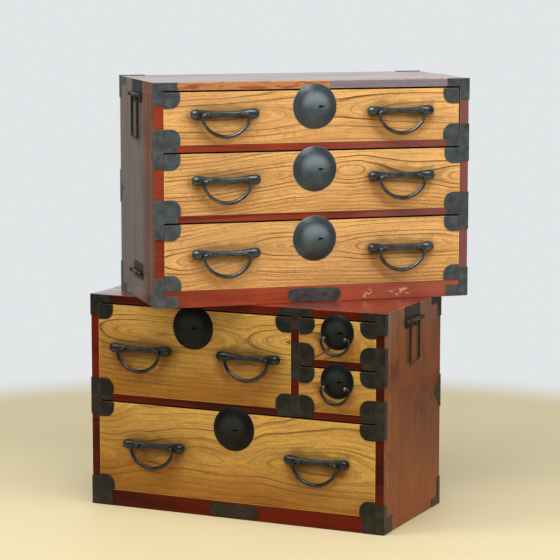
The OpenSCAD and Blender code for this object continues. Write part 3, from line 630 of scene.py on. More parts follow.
# Each drawer's board: width of its rings and their sway, and along its width the share, the heart's depth
# behind the face and its height over the middle in millimetres, how wide the rings lie above it, and their
# strength
FIGURES = {
    "upper_top": (0.011, 0.007, (
        (0, 11.5, -3, 1, 1), (0.08, 7, -2, 1, 1), (0.22, 5, -1, 0.95, 0.9), (0.36, 11, 2, 0.8, 1),
        (0.47, 19, 6, 0.62, 0.6), (0.54, 24, 9, 0.6, 0.4), (0.63, 22, 11, 0.65, 1), (0.76, 15, 10, 0.7, 0.8),
        (1, 9, 6, 0.7, 0.6))),
    "upper_mid": (0.0075, 0.007, (
        (0, 9, -10, 1, 0.8), (0.035, 7.5, -9, 1, 1), (0.2, 4, -2, 1, 0.8), (0.39, 7.5, 14, 1, 1),
        (0.48, 13, 17, 1, 0.4), (0.56, 14, 20, 0.9, 0.5), (0.62, 5, 20, 0.9, 1), (0.68, 13, 20, 0.8, 1),
        (0.8, 19, 12, 0.7, 0.8), (0.93, 16, 6, 0.7, 0.8), (1, 7, 4, 0.8, 1))),
    "upper_low": (0.008, 0.006, (
        (0, 17, -9, 1, 1), (0.065, 8, -8, 1, 1), (0.11, 5, -4, 1, 0.5), (0.2, 12, 6, 1, 0.1),
        (0.3, 17, 15, 1, 0.3), (0.37, 8, 16, 1, 1), (0.48, 5, 14, 1, 0.3), (0.57, 18, 11, 1, 0.3),
        (0.675, 8, 11, 1, 1), (0.8, 4, 12, 1, 0.8), (0.93, 8, 12, 1, 0.9), (1, 13, 10, 1, 0.5))),
    "wide": (0.01, 0.007, (
        (0, 26, 41, 1, 0.7), (0.042, 20, 41, 1, 1), (0.12, 12, 41, 1, 1), (0.3, 6, 40, 1, 0.7),
        (0.5, 8, 38, 1, 0.4), (0.66, 15, 36, 1, 0.2), (0.76, 25, 38, 1, 0.3), (0.826, 20, 41, 1, 1),
        (0.91, 11, 42, 1, 1), (1, 4, 42, 1, 1))),
    "small_top": (0.009, 0.008, (
        (0, 6, -22, 0.8, 1), (0.25, 16, -16, 0.6, 1), (0.6, 30, -12, 0.5, 1), (1, 40, -20, 0.6, 0.8))),
    "small_low": (0.012, 0.009, (
        (0, 66, -50, 1, 0.4), (0.5, 60, -44, 1, 0.3), (1, 50, -40, 1, 0.4))),
    "long": (0.013, 0.009, (
        (0, 8, -20, 1, 1), (0.048, 13, -20, 1, 1), (0.13, 24, -13, 0.8, 0.3), (0.196, 26, -9, 0.8, 1),
        (0.27, 17, -8, 0.8, 0.6), (0.33, 15, -5, 0.8, 0.6), (0.39, 12, -5, 0.8, 1), (0.47, 15, -9, 0.75, 0.6),
        (0.54, 17, -8, 0.65, 0.4), (0.606, 13, -4, 0.55, 1), (0.7, 7, -10, 0.45, 1),
        (0.85, 6, -14, 0.35, 0.7), (1, 14, -14, 0.32, 0.7))),
}

# Colours of each case's elm: ground, low edge, rings, rust marks with the bails' painted shadow, dirt with
# painted shade round the bars, and painted shade beside the corner plates
ELM_COLOURS = {
    "upper": ("elm", "elm_low", "elm_line", "8f5a1e", "644a2c", "41382d"),
    "lower": ("low_elm", "low_elm_low", "low_elm_line", "6b2a0a", "40301a", "241c14"),
}


def bar_middles(drawer):
    """Middles of the long bars on a drawer's front."""
    return [at for at, size in solid_boxes(drawer + "_drawer_iron") if size.x >= BAR_LENGTH]


def handle_place(drawer, middle):
    """Distance of a drawer's bars from its middle, their height over its middle, and their scale."""
    if drawer in SMALL_DRAWERS:
        return 0.0, joint(drawer + "_bail_swing")["pos_m"][2] - middle.z, 0.66
    bar = bar_middles(drawer)[0]
    return abs(bar.x - middle.x), bar.z - middle.z, 1.0


def elm(drawer):
    """Oiled elm of one drawer's front, with its own figure."""
    ground, foot, line, stain_and_bail_shadow, grime_and_shade, painted_shade = ELM_COLOURS[case_of(drawer)]
    low, high = square_box(drawer + "_drawer_front")
    middle, half = (low + high) / 2, (high - low) / 2
    s = Surface(drawer + "_elm", middle)
    x, _, z = s.parts()
    ring_width, sway, hearts = FIGURES[drawer]
    along = s.add("MapRange", {0: x, 1: -half.x, 2: half.x}).outputs[0]
    depth, height, above, strength = s.curves(along, [
        (at, depth * MM / SPAN, 0.5 + height * MM / SPAN, *rest) for at, depth, height, *rest in hearts])
    wood = s.group("timber", {
        "Heart depth": s.times(depth, SPAN), "Heart height": s.line(height, SPAN, -SPAN / 2), "Above": above,
        "Ring width": ring_width, "Sway": sway})
    marks = s.group("handling", dict(zip(("Reach", "Height", "Size"), handle_place(drawer, middle))))
    edge = s.group("edge", {
        "Half width": half.x, "Half height": half.z, "Band": 0.0011, "Ragged": 0.0014})["Mask"]
    scratches = s.group("scratch", {"Amount": 0.75})["Mask"]

    uneven = s.line(s.minus(wood["Clouds"], 0.5), 0.12, z)
    # The lower drawers are darker towards their left as well: painted shade.
    if case_of(drawer) == "lower":
        uneven = s.line(x, 0.1, uneven)
    s.colour = s.mix(s.step(uneven, -half.z, half.z * 0.7), tone(foot), tone(ground))
    s.lay(s.fade(wood["Clouds"], 0.34, 0.66, 0.28), tone(line, 2.2))
    s.grain(wood, line, Bands=(0.20, 1.6), Streaks=(0.5, 1.6), Fibres=(0.42, 1.5), Pores=(0.4, 1.1),
            Rings=(strength, 1))
    coarse = s.step(s.noise((7, 7, 22), 3.0, 0.6), 0.56, 0.68)
    flecks = s.step(s.noise((260, 60, 170), 2.0, 0.6), 0.52, 0.66)
    # A dark strip along the drawer's edges beside the corner plates: painted shade.
    beside, over = s.minus(half.x, s.off(x)), s.minus(half.z, s.off(z))
    corner = s.fade(s.sum("MAXIMUM", beside, over), CORNER_PLATE - 0.002, CORNER_PLATE + 0.001)
    corner = s.times(corner, s.fade(s.sum("MINIMUM", beside, over), 0.0014, 0.002))
    s.lay(s.times(coarse, flecks), tone(line, 1.8), 0.4)
    # Rust marks with the bails' painted shadow, then dirt with painted shade round the bars.
    s.lay(marks["Stain"], tone(stain_and_bail_shadow), 0.55)
    s.lay(marks["Grime"], tone(grime_and_shade), 0.5)
    s.lay(scratches, tone("4a2c12"), 0.8)
    # A lighter band along the drawer's edges: a painted highlight.
    s.lay(edge, tone(ground, 1.4), 0.4)
    s.lay(corner, tone(painted_shade), 0.85)

    dip = s.sum("ADD", s.times(wood["Rings"], -0.5), s.times(wood["Pores"], -0.5))
    dip = s.sum("ADD", dip, s.line(wood["Fibres"], -0.3, s.times(scratches, -0.8)))
    roughness = s.line(wood["Fibres"], 0.12, 0.38)
    return s.done(roughness, dip, 0.00035, 0.6, {"Specular IOR Level": 0.22})


class Lacquer(Surface):
    """Translucent lacquer over grain; chips are middles and half sizes of places where it flakes off."""

    def __init__(self, name, ground, deep, chips=(), upright=False, ring_width=0.006):
        super().__init__(name, upright=upright)
        self.deep = deep
        self.wood = self.group("timber", {
            "Heart depth": 0.09, "Heart height": 0.16, "Ring width": ring_width, "Sway": 0.02})
        self.colour = self.mix(self.step(self.wood["Clouds"], 0.34, 0.66), tone(deep), tone(ground))
        self.grain(self.wood, deep, Streaks=(0.42, 0.75), Fibres=(0.3, 0.7), Rings=(0.7, 0.5))
        self.flaked = self.step(self.noise((120, 160, 190), 3.0, 0.6), 0.73, 0.76)
        x, _, z = self.parts()
        for at, height, wide, high in chips:
            far = self.oval(self.minus(x, at), self.minus(z, height), wide, high)
            spot = self.step(self.noise((130, 240, 260), 3.0, 0.6), 0.52, 0.57)
            self.flaked = self.sum("MAXIMUM", self.flaked, self.times(spot, self.fade(far, 0.6, 1.1)))

    def coated(self, worn, coat=0.15, roughness=0.38, wear=0.25, gloss=0.25, dull=None):
        """Adds scratches and worn edges and gives the material, which has no polish where it is dull."""
        ragged = self.step(self.noise(55.0, 4.0, 0.65), 0.40, 0.58, 0.25, 1.0)
        rubbed = self.times(self.times(self.rubbed(), ragged), wear)
        self.lay(self.group("scratch", {"Amount": 0.8})["Mask"], tone(self.deep, 0.4), 0.6)
        self.lay(self.sum("MAXIMUM", rubbed, self.flaked), tone(worn))
        height = self.sum("ADD", self.times(self.wood["Fibres"], -0.5), self.times(self.flaked, -1.0))
        polish = coat if dull is None else self.times(self.minus(1.0, dull), coat)
        return self.done(self.line(self.wood["Clouds"], 0.3, roughness - 0.15), height, 0.0003, 0.35, {
            "Specular IOR Level": gloss, "Coat Weight": polish, "Coat Roughness": 0.16})


def red_lacquer(name, ground, deep, worn, chips=(), purple=0.0, **values):
    """Red lacquer of rails and front edges, duller and more purple towards the right."""
    s = Lacquer(name, ground, deep, chips)
    if purple:
        there = s.line(s.minus(s.wood["Clouds"], 0.5), 0.35, s.parts()[0])
        s.lay(s.step(there, -0.05, 0.25, 0.0, purple), tone("754a45"))
    return s.coated(worn, **values)


def top_lacquer(name, ground, deep, worn, crack, **values):
    """Lacquer of a top face, with a ragged crack along the grain near its middle."""
    s = Lacquer(name, ground, deep)
    x, depth, _ = s.parts()
    away = s.off(s.minus(s.line(s.wave((12, 60, 60), 3.0), 0.03, depth), crack))
    split = s.times(s.fade(away, 0.0012, 0.005), s.fade(s.off(x), 0.05, 0.14))
    s.lay(split, tone(deep, 0.25))
    dull = s.step(s.noise((2.5, 42, 42), 4.0, 0.65), 0.46, 0.64)
    return s.coated(worn, dull=s.sum("MAXIMUM", dull, split), **values)


def side_lacquer(name, ground, deep, worn, grey, ochre, **values):
    """Brown lacquer of the sides, with upright grain, a grey part and a warmer part; on the upper case the
    grey towards the back is a painted sheen.
    """
    s = Lacquer(name, ground, deep, upright=True, ring_width=0.009)
    down, depth, _ = s.parts()
    ragged = s.wave((3, 60, 60), 3.0, 0.6)
    if case_of(name) == "upper":
        # Grey towards the back of the upper side: a painted sheen.
        s.lay(s.step(s.line(ragged, 0.16, depth), -0.12, 0.0, 0.0, 0.85), tone(grey))
        warm = s.off(s.sum("ADD", s.line(ragged, 0.03, depth), 0.118))
        s.lay(s.fade(warm, 0.002, 0.014, 0.5), tone(ochre))
    else:
        height = s.times(down, -1.0)
        s.lay(s.step(s.line(ragged, -0.22, height), 0.33, 0.46, 0.0, 0.5), tone(grey))
        s.lay(s.fade(s.line(ragged, 0.30, height), 0.05, 0.22, 0.35), tone(ochre))
        front = s.times(s.fade(depth, -0.145, -0.09), s.step(down, -0.40, -0.30))
        marks = s.step(s.noise((26, 260, 260), 2.0, 0.7), 0.60, 0.66)
        s.lay(s.times(front, marks), tone(worn))
    s.lay(s.step(s.noise((3.5, 75, 75), 3.0, 0.7), 0.50, 0.75), tone(deep, 0.6), 0.45)
    s.lay(s.step(s.noise((9, 380, 380), 2.0, 0.6), 0.50, 0.72), tone(deep, 0.6), 0.3)
    s.lay(s.step(s.noise((14, 22, 22), 3.0, 0.6), 0.46, 0.62), tone(ochre), 0.22)
    return s.coated(worn, **values)


def worn_edge(name, left, patch, worn, right, **values):
    """Front edge of a top board: bare and orange at the left, greyed lacquer at the right."""
    s = Lacquer(name, left, patch)
    patches = s.step(s.noise((22, 60, 150), 4.0, 0.65), 0.48, 0.58)
    s.colour = s.mix(s.times(patches, 0.9), tone(left), tone(patch))
    s.grain(s.wood, patch, Streaks=(0.3, 0.8))
    there = s.line(s.wave((9, 9, 60), 3.0), 0.03, s.parts()[0])
    s.lay(s.step(there, 0.028, 0.034), s.mix(s.wood["Streaks"], tone(right), tone(right, 0.7)))
    return s.coated(worn, **values)


def iron(name, ground, hammer=110.0, rust=0.4, metallic=0.75, roughness=0.42, dents=0.0003, worn=2.2,
         mottle=0.55, gloss=0.5, domed=False):
    """Forged iron, burnt dark and waxed, brighter where hands rub it; on a domed lock plate the lighter rim
    is a painted highlight, and the dome gets painted shade and a painted highlight.
    """
    s = Surface(name)
    skin = s.group("iron", {"Hammer": hammer, "Rust": rust})
    s.colour = s.mix(s.step(skin["Tone"], 0.30, 0.72), tone(ground, 1 - mottle), tone(ground, 1 + mottle))
    s.lay(s.times(s.rubbed(), s.step(s.noise(90.0, 3.0), 0.40, 0.62, 0.15, 0.7)), tone(ground, worn))
    s.lay(skin["Rust"], tone("rust"))
    if domed:
        # Painted shade towards the rim and below, and a painted highlight on the middle where it looks up.
        turn = PLACES[case_of(name)].to_3x3().to_4x4()
        _, ahead, up = s.parts(s.seen_from(turn, "Normal"))
        crown = s.step(ahead, -0.920, -0.985)
        painted_shade = s.minus(1.0, s.times(crown, s.step(up, -0.30, 0.05, 0.30, 1.0)))
        s.lay(painted_shade, tone(ground, 0.25), 0.65)
        s.lay(s.times(crown, s.step(up, -0.10, 0.20)), tone(ground, 2.2))
    rough = s.line(skin["Tone"], 0.26, roughness - 0.13)
    rough = s.sum("ADD", rough, s.times(skin["Rust"], 0.25), clamp=True)
    return s.done(rough, skin["Height"], dents, 0.7, {"Metallic": metallic, "Specular IOR Level": gloss})


def cedar(name, ground, heart=0.1):
    """Bare, close-grained wood of the hidden boards; with a dark ground it is the painted shade on the drawer
    fronts' hidden faces.
    """
    s = Surface(name)
    wood = s.group("timber", {
        "Heart depth": 0.03, "Heart height": heart, "Ring width": 0.006, "Sway": 0.02})
    s.colour = s.mix(s.step(wood["Clouds"], 0.3, 0.7), tone(ground, 0.80), tone(ground, 1.12))
    s.grain(wood, ground, Streaks=(0.3, 0.6), Rings=(0.8, 0.45))
    return s.done(s.line(wood["Fibres"], 0.1, 0.6), wood["Fibres"], 0.0002, 0.5, {})


def steel(name):
    """Filed steel of the lock bolts."""
    s = Surface(name)
    strokes = s.noise((900, 900, 60), 3.0, 0.6)
    s.colour = s.mix(strokes, tone("5d6062"), tone("96999b"))
    return s.done(s.line(strokes, 0.2, 0.3), strokes, 0.0001, 0.5, {"Metallic": 0.95})


TOP = dict(roughness=0.3)
SIDE = dict(roughness=0.42)
# Lock plates: the rubbed rim is painted lighter as a painted highlight, and the dome gets painted shade and
# highlight.
PLATE = dict(rust=0.1, metallic=0.55, worn=3, domed=True)
BAR_IRON = dict(hammer=150.0, roughness=0.34, metallic=0.85)
BAIL = dict(hammer=220.0, roughness=0.24, metallic=0.85, dents=0.00016)
NAIL = dict(hammer=300.0, rust=0.3, roughness=0.4, metallic=0.85, dents=0.0001)

# Each finish: what makes it, its colours, and the rest. A lacquer's are its ground, its depths and where it
# is worn.
FINISHES = {
    "upper_red": (red_lacquer, "lacquer", "6c2415", "b06a3c", dict(purple=0.6)),
    "upper_low_red": (red_lacquer, "b24d2a", "7c2c18", "d49a68", dict(
        chips=((0.115, 0.013, 0.016, 0.010), (0.185, 0.016, 0.030, 0.010)), purple=0.4, wear=0.1)),
    "upper_stile": (red_lacquer, "8c351f", "6c2816", "a8603c", dict(purple=0.9, coat=0.05, gloss=0.1)),
    "upper_top_edge": (worn_edge, "ac7745", "8f3f27", "dba05e", dict(right="796f75", wear=0.9)),
    "upper_top_face": (top_lacquer, "86503f", "6b4240", "c58a58", dict(
        TOP, crack=-0.03, coat=0.9, wear=0.6, gloss=0.5)),
    # The upper side's grey is a painted sheen.
    "upper_side": (side_lacquer, "653e22", "46281a", "9a6a42", dict(
        SIDE, grey="6a645e", ochre="8c4e20", coat=0.1, gloss=0.2, wear=0.12)),
    "lower_red": (red_lacquer, "low_lacquer", "340d04", "b04a1c", dict(coat=0.06, gloss=0.08)),
    "lower_top_face": (top_lacquer, "8c3c2b", "64291f", "d0683a", dict(
        TOP, crack=0.4, coat=0.8, wear=0.8, gloss=0.4)),
    "lower_side": (side_lacquer, "side_lacquer", "562710", "b07a45", dict(
        SIDE, grey="75655a", ochre="93461c", coat=0.08, gloss=0.15, wear=0.1)),
    "upper_iron": (iron, "iron", dict(rust=0.45, dents=0.0005, mottle=0.38)),
    "lower_iron": (iron, "low_iron", dict(rust=0.5, dents=0.0005, mottle=0.42)),
    "upper_plates": (iron, "5c6568", dict(PLATE, roughness=0.36, mottle=0.35)),
    "lower_plates": (iron, "222322", dict(PLATE, roughness=0.34, mottle=0.25, gloss=0.2)),
    "upper_corners": (iron, "5e6668", dict(rust=0.2, roughness=0.48, dents=0.0004, mottle=0.32)),
    "lower_corners": (iron, "2b2b28", dict(rust=0.3, roughness=0.5, dents=0.0004, mottle=0.38)),
    "upper_bars": (iron, "565d5f", dict(BAR_IRON, rust=0.12)),
    "lower_bars": (iron, "3a3d3e", dict(BAR_IRON, rust=0.15)),
    "upper_bails": (iron, "5d6262", dict(BAIL, rust=0.25)),
    "lower_bails": (iron, "3c3e3d", dict(BAIL, rust=0.3)),
    "upper_nails": (iron, "5b6062", NAIL),
    "lower_nails": (iron, "3c3a36", NAIL),
    "eyes": (iron, "6f6a62", dict(NAIL, roughness=0.3, metallic=0.9)),
    "upper_brackets": (iron, "403c35", dict(rust=0.5)),
    "lower_brackets": (iron, "4a3f35", dict(rust=0.8)),
    "upper_copper": (iron, "7a3a22", dict(dents=0.0002)),
    "upper_cedar": (cedar, "cedar", {}),
    "lower_cedar": (cedar, "cedar", {}),
    "upper_plank": (cedar, "plank", dict(heart=-0.12)),
    "lower_plank": (cedar, "plank", dict(heart=-0.12)),
    # Dark finishes for the drawer fronts' hidden faces, seen in the gap above each drawer: painted shade.
    "upper_aged": (cedar, "3b2413", {}),
    "lower_aged": (cedar, "2c180c", {}),
    "upper_steel": (steel, {}),
    "lower_steel": (steel, {}),
}
MATERIALS = {}


def finish(name):
    """The finish of that name, built on its first use."""
    if name not in MATERIALS:
        maker, *tints, values = FINISHES[name]
        MATERIALS[name] = maker(name, *tints, **values)
    return MATERIALS[name]


# ---- Pieces ----

FACE_TURN = 0.7
STRIP_SEAM = 0.025
STRIP_TOP = 0.04
STRIP_BACK = -0.15
NEAR = 1e-4
NAIL_SIZE = 0.005
LOCK_PLATE_SIZE = 0.06
EYE_WIDTHS = (0.0045, 0.009)
HOLE_RADIUS = 0.0045
HOLE_INSET = 0.012
KEY_RADIUS = 0.003
KEY_LEFT = -0.00275
# Inner and outer radius, width and rounding of rings: rims of holes, pins, posts and knuckles
HOLE_RIM = (0.0021, 0.0043, 0.0014, 0.0004)
LOCK_PIN = (0.0004, 0.0011)
BAR_POST = (0.0001, 0.0025, 0.026, 0.0004)
KNUCKLE = (0.00283, 0.00425, 0.007, 0.0007)


def board_face(normal, middle):
    """Number of a board's material by its direction: 0 front, 1 top, 2 side or back, 3 inside or below."""
    if normal.y < -FACE_TURN:
        return 0
    if normal.z > FACE_TURN:
        return 1
    if abs(normal.x) > FACE_TURN or normal.y > FACE_TURN:
        return 2
    return 3 if normal.z < -FACE_TURN else 0


def rail_face(normal, middle):
    """Number of a rail's material, as for a board, but 4 on the front of the strip along the bottom."""
    number = board_face(normal, middle)
    return 4 if number == 0 and middle.z < STRIP_TOP else number


def side_face(normal, middle):
    """Number of a side board's material by its direction: 0 front, 1 outside or back, 2 inside."""
    if normal.y < -FACE_TURN:
        return 0
    return 2 if normal.x * middle.x < -1e-6 else 1


def is_stile(middle, size):
    """Whether a solid is the upright board whose front edge shows between two drawers."""
    return size.x < 0.03 and size.z > 0.1 and size.y > 0.2


def is_nail(size):
    """Whether a solid is as small as a nail's head."""
    return max(size) < NAIL_SIZE


def is_base_plate(middle, size):
    """Whether a solid is the flat plate in the middle of a case's bottom edge."""
    return size.y < 0.003 and abs(middle.x) < 0.06 and size.x > 0.06 and middle.z < STRIP_TOP


def is_flat(middle, size):
    """Whether a solid of a drawer's irons is a corner plate, a lock case or a washer."""
    return not is_nail(size) and size.z < 0.045 and EYE_WIDTHS[1] < size.x < BAR_LENGTH


def is_eye(middle, size):
    """Whether a solid is an eye of a small drawer's bail, with its stem."""
    return EYE_WIDTHS[0] < size.x < EYE_WIDTHS[1] and size.y > 0.012


def iron_piece(name, bm, node, kind, angle=38):
    """A piece in one of its case's irons."""
    case = case_of(node)
    piece(name, bm, node, case + "_iron", finish(f"{case}_{kind}"), angle=angle)


def nail_heads(name, node):
    """Domed heads in the places of a node's plain nails."""
    width, height = sizes().nail_width, sizes().nail_height
    arc = [math.radians(a) for a in (90, 68, 45, 22, 0)]
    profile = [Vector((math.cos(a) * width / 2, 0, math.sin(a) * height)) for a in arc]
    bm = bmesh.new()
    for middle, size in solid_boxes(node):
        if is_nail(size):
            thin = min(range(3), key=lambda i: size[i])
            facing = Vector((0, 0, 0))
            facing[thin] = math.copysign(1.0, middle[thin])
            verts = spun(bm, profile + [Vector((width / 2, 0, -NEAR))], (0, 0, 1), steps=12)
            turn = Vector((0, 0, 1)).rotation_difference(facing).to_matrix().to_4x4()
            place = Matrix.Translation(middle - facing * size[thin] / 2)
            bmesh.ops.transform(bm, matrix=place @ turn, verts=verts)
    iron_piece(name, bm, node, "nails")


class CHEST_OT_cases(bpy.types.Operator):
    """Rounds and lacquers the boards and rails of both cases"""

    bl_idname = "chest.cases"
    bl_label = "Cases"

    def execute(self, context):
        for case in CASES:
            red, side, bare, top = (finish(case + end) for end in ("_red", "_side", "_cedar", "_top_face"))
            low, edge, stile = (finish("upper_" + end) if case == "upper" else red
                                for end in ("low_red", "top_edge", "stile"))
            for part, choose, coats in (
                    ("bottom_board", board_face, (low, bare, side, bare)),
                    ("top_board", board_face, (edge, top, side, bare)),
                    ("side_boards", side_face, (stile, side, bare)),
                    ("rails", rail_face, (red, bare, red, bare, low))):
                node = f"{case}_{part}"
                bm = square_mesh(node)
                back = math.inf if part == "bottom_board" else STRIP_BACK
                soften(bm, sizes().board_edge,
                       closed=lambda at: abs(at.z - STRIP_SEAM) < NEAR and at.y < back)
                paint(bm, choose)
                piece(f"{case}_lacquered_{part}", bm, node, case + "_lacquer", *coats)
        return {"FINISHED"}


class CHEST_OT_inner_boards(bpy.types.Operator):
    """Rounds the bare boards inside the cases and the drawers' boxes"""

    bl_idname = "chest.inner_boards"
    bl_label = "Inner boards"

    def execute(self, context):
        names = [f"{case}_{part}" for case in CASES for part in ("back_boards", "inner_boards")]
        names += [drawer + "_drawer_box" for drawer in DRAWERS]
        for node in names:
            bm = kept_solids(node, lambda at, size: node != "lower_inner_boards" or not is_stile(at, size))
            coats = [finish(case_of(node) + "_cedar")]
            if node.endswith("_back_boards"):
                seams = sorted(at.z + size.z / 2 for _, at, size in solids(bm))[:-1]
                soften(bm, sizes().board_edge * 1.5)
                paint(bm, lambda normal, middle: sum(middle.z > seam for seam in seams) % 2)
                coats.append(finish(case_of(node) + "_plank"))
            else:
                soften(bm, sizes().board_edge / 2, 1)
            piece(node + "_cedar", bm, node, "cedar", *coats)
        bm = kept_solids("lower_inner_boards", is_stile)
        soften(bm, sizes().board_edge)
        paint(bm, side_face)
        bare = finish("lower_cedar")
        piece("lower_stile", bm, "lower_inner_boards", "lower_lacquer", finish("lower_red"), bare, bare)
        return {"FINISHED"}


class CHEST_OT_drawer_fronts(bpy.types.Operator):
    """Rounds the drawers' fronts and gives each its own figured elm"""

    bl_idname = "chest.drawer_fronts"
    bl_label = "Drawer fronts"

    def execute(self, context):
        for drawer in DRAWERS:
            node, case = drawer + "_drawer_front", case_of(drawer)
            bm = square_mesh(node)
            soften(bm, sizes().board_edge)
            # All faces but the front get the dark finish: painted shade in the gap above the drawer.
            paint(bm, lambda normal, middle: 0 if normal.y < -0.3 else 1)
            piece(drawer + "_elm_front", bm, node, case + "_elm", elm(drawer), finish(case + "_aged"))
        return {"FINISHED"}


def hole_middles(bm):
    """Middles of the round holes through a flat plate, at its front face."""
    low, high = corners(bm.verts)
    centre = (low + high) / 2
    found = []
    for side in (-1, 1):
        rim = [v.co for v in bm.verts if abs(v.co.z - centre.z) < HOLE_RADIUS and v.co.y < low.y + 1e-5
               and 0 < (v.co.x - centre.x) * side < high.x - centre.x - HOLE_INSET]
        if rim:
            middle = sum(rim, Vector()) / len(rim)
            found.append(Vector((middle.x, low.y + 0.0004, middle.z)))
    return found


class CHEST_OT_straps(bpy.types.Operator):
    """Forged straps, corner plates and diamonds on both cases, with their nails"""

    bl_idname = "chest.straps"
    bl_label = "Straps"

    def execute(self, context):
        for case in CASES:
            node = case + "_straps"
            bm = kept_solids(node, lambda at, size: not is_nail(size) and not is_base_plate(at, size))
            soften(bm, sizes().iron_edge)
            iron_piece(case + "_strap_irons", bm, node, "iron")
            bm = kept_solids(node, is_base_plate)
            rims = hole_middles(bm)
            soften(bm, sizes().iron_edge, merge=False)
            iron_piece(case + "_base_plate", bm, node, "iron")
            if rims:
                bm = bmesh.new()
                for at in rims:
                    ring(bm, at, (0, 1, 0), *HOLE_RIM)
                iron_piece(case + "_hole_rims", bm, node, "copper")
            nail_heads(case + "_strap_nails", node)
        return {"FINISHED"}


class CHEST_OT_corner_plates(bpy.types.Operator):
    """Corner plates, nails, lock cases and washers of the drawers"""

    bl_idname = "chest.corner_plates"
    bl_label = "Corner plates"

    def execute(self, context):
        for drawer in DRAWERS:
            node = drawer + "_drawer_iron"
            bm = kept_solids(node, is_flat)
            soften(bm, sizes().iron_edge)
            iron_piece(drawer + "_corner_plates", bm, node, "corners")
            nail_heads(drawer + "_corner_nails", node)
        return {"FINISHED"}


def key_cutters(x, z, front, back):
    """Two solids that cut a keyhole: a round end on the left and a slot to the right."""
    end, slot = bmesh.new(), bmesh.new()
    place = Matrix.Translation((x + KEY_LEFT, back, z)) @ Matrix.Rotation(math.pi / 2, 4, "X")
    bmesh.ops.create_circle(end, cap_ends=True, segments=24, radius=KEY_RADIUS, matrix=place)
    made = bmesh.ops.extrude_face_region(end, geom=end.faces[:])["geom"]
    bmesh.ops.translate(end, vec=(0, front - back, 0), verts=only(BMVert, made))
    bmesh.ops.recalc_face_normals(end, faces=end.faces[:])
    block(slot, (x - 0.002, front, z - 0.0014), (x + 0.00575, back, z + 0.0014), 0.0004)
    return end, slot


def cut(bm, cutters):
    """Cuts closed meshes out of a mesh and returns what is left."""
    shapes = []
    for i, each in enumerate([bm, *cutters]):
        mesh = bpy.data.meshes.new(f"cut_{i}")
        each.to_mesh(mesh)
        each.free()
        shapes.append(bpy.data.objects.new(f"cut_{i}", mesh))
        bpy.context.scene.collection.objects.link(shapes[-1])
    for tool in shapes[1:]:
        modifier = shapes[0].modifiers.new("Cut", "BOOLEAN")
        modifier.operation, modifier.solver, modifier.object = "DIFFERENCE", "EXACT", tool
    bpy.context.view_layer.update()
    done = shapes[0].evaluated_get(bpy.context.evaluated_depsgraph_get())
    left = bmesh.new()
    left.from_mesh(done.to_mesh())
    done.to_mesh_clear()
    for shape in shapes:
        mesh = shape.data
        bpy.data.objects.remove(shape)
        bpy.data.meshes.remove(mesh)
    return left


def dome(radius, reach, sunk, shares):
    """Points of a ball's arc at shares of its reach, with the ball's middle sunk behind the face."""
    return [(reach * share, sunk - math.sqrt(radius ** 2 - (reach * share) ** 2)) for share in shares]


class CHEST_OT_lock_plates(bpy.types.Operator):
    """Domed lock plates with keyholes and lock pins"""

    bl_idname = "chest.lock_plates"
    bl_label = "Lock plates"

    def execute(self, context):
        wall = sizes().plate_wall
        for drawer in DRAWERS:
            node = drawer + "_drawer_iron"
            at, size = next(box for box in solid_boxes(node) if box[1].z > LOCK_PLATE_SIZE)
            face = at.y + size.y / 2
            rise, reach = size.y, size.x / 2
            radius = (reach ** 2 + rise ** 2) / (2 * rise)
            sunk, inner = radius - rise, radius - wall
            outside = [math.sin(math.pi / 2 * i / 20) for i in range(21)]
            inside = [1 - i / 12 for i in range(13)]
            outline = dome(radius, reach - wall / 2, sunk, outside) + [(reach, -wall / 4)]
            outline += dome(inner, math.sqrt(inner ** 2 - sunk ** 2), sunk, inside)
            plate = bmesh.new()
            spun(plate, [Vector((r, y, 0)) for r, y in outline], (0, 1, 0), (at.x, face, at.z), 72)
            # The rim's faces are marked as rubbed, which paints them lighter: a painted highlight round the
            # rim.
            worn = plate.faces.layers.float.new("worn")
            for part in plate.faces:
                middle = part.calc_center_median()
                if math.hypot(middle.x - at.x, middle.z - at.z) > reach - wall:
                    part[worn] = 1.0
            x = at.x + sizes().key_x
            plate = cut(plate, key_cutters(x, at.z, face - rise - MM, face + MM))
            pin = Vector((x + KEY_LEFT, face - rise * 0.45, at.z))
            ring(plate, pin, (0, 1, 0), *LOCK_PIN, rise * 0.7, 0.0002)
            iron_piece(drawer + "_lock_plate", plate, node, "plates", 60)
        return {"FINISHED"}


# Outline of a handle's bar from its middle to its end: distance, half height and half depth in millimetres
BAR = ((0, 5.2, 5.2), (12, 5.3, 5.3), (22, 5.7, 5.6), (30, 6.3, 6.0), (38, 7.2, 6.3), (45, 8.3, 6.5),
       (50, 9.1, 7.6), (55, 9.8, 9.2), (60.7, 10.25, 10.0), (64.5, 9.6, 9.4), (67.6, 7.9, 7.7),
       (69.8, 5.0, 4.9), (70.8, 2.2, 2.1), (71.0, 0.0, 0.0))
EYE_NECK = (0.0033, 0.0021)
EYE_RING = (0.007, 0.0011)
PIN_ROOM = 0.00008


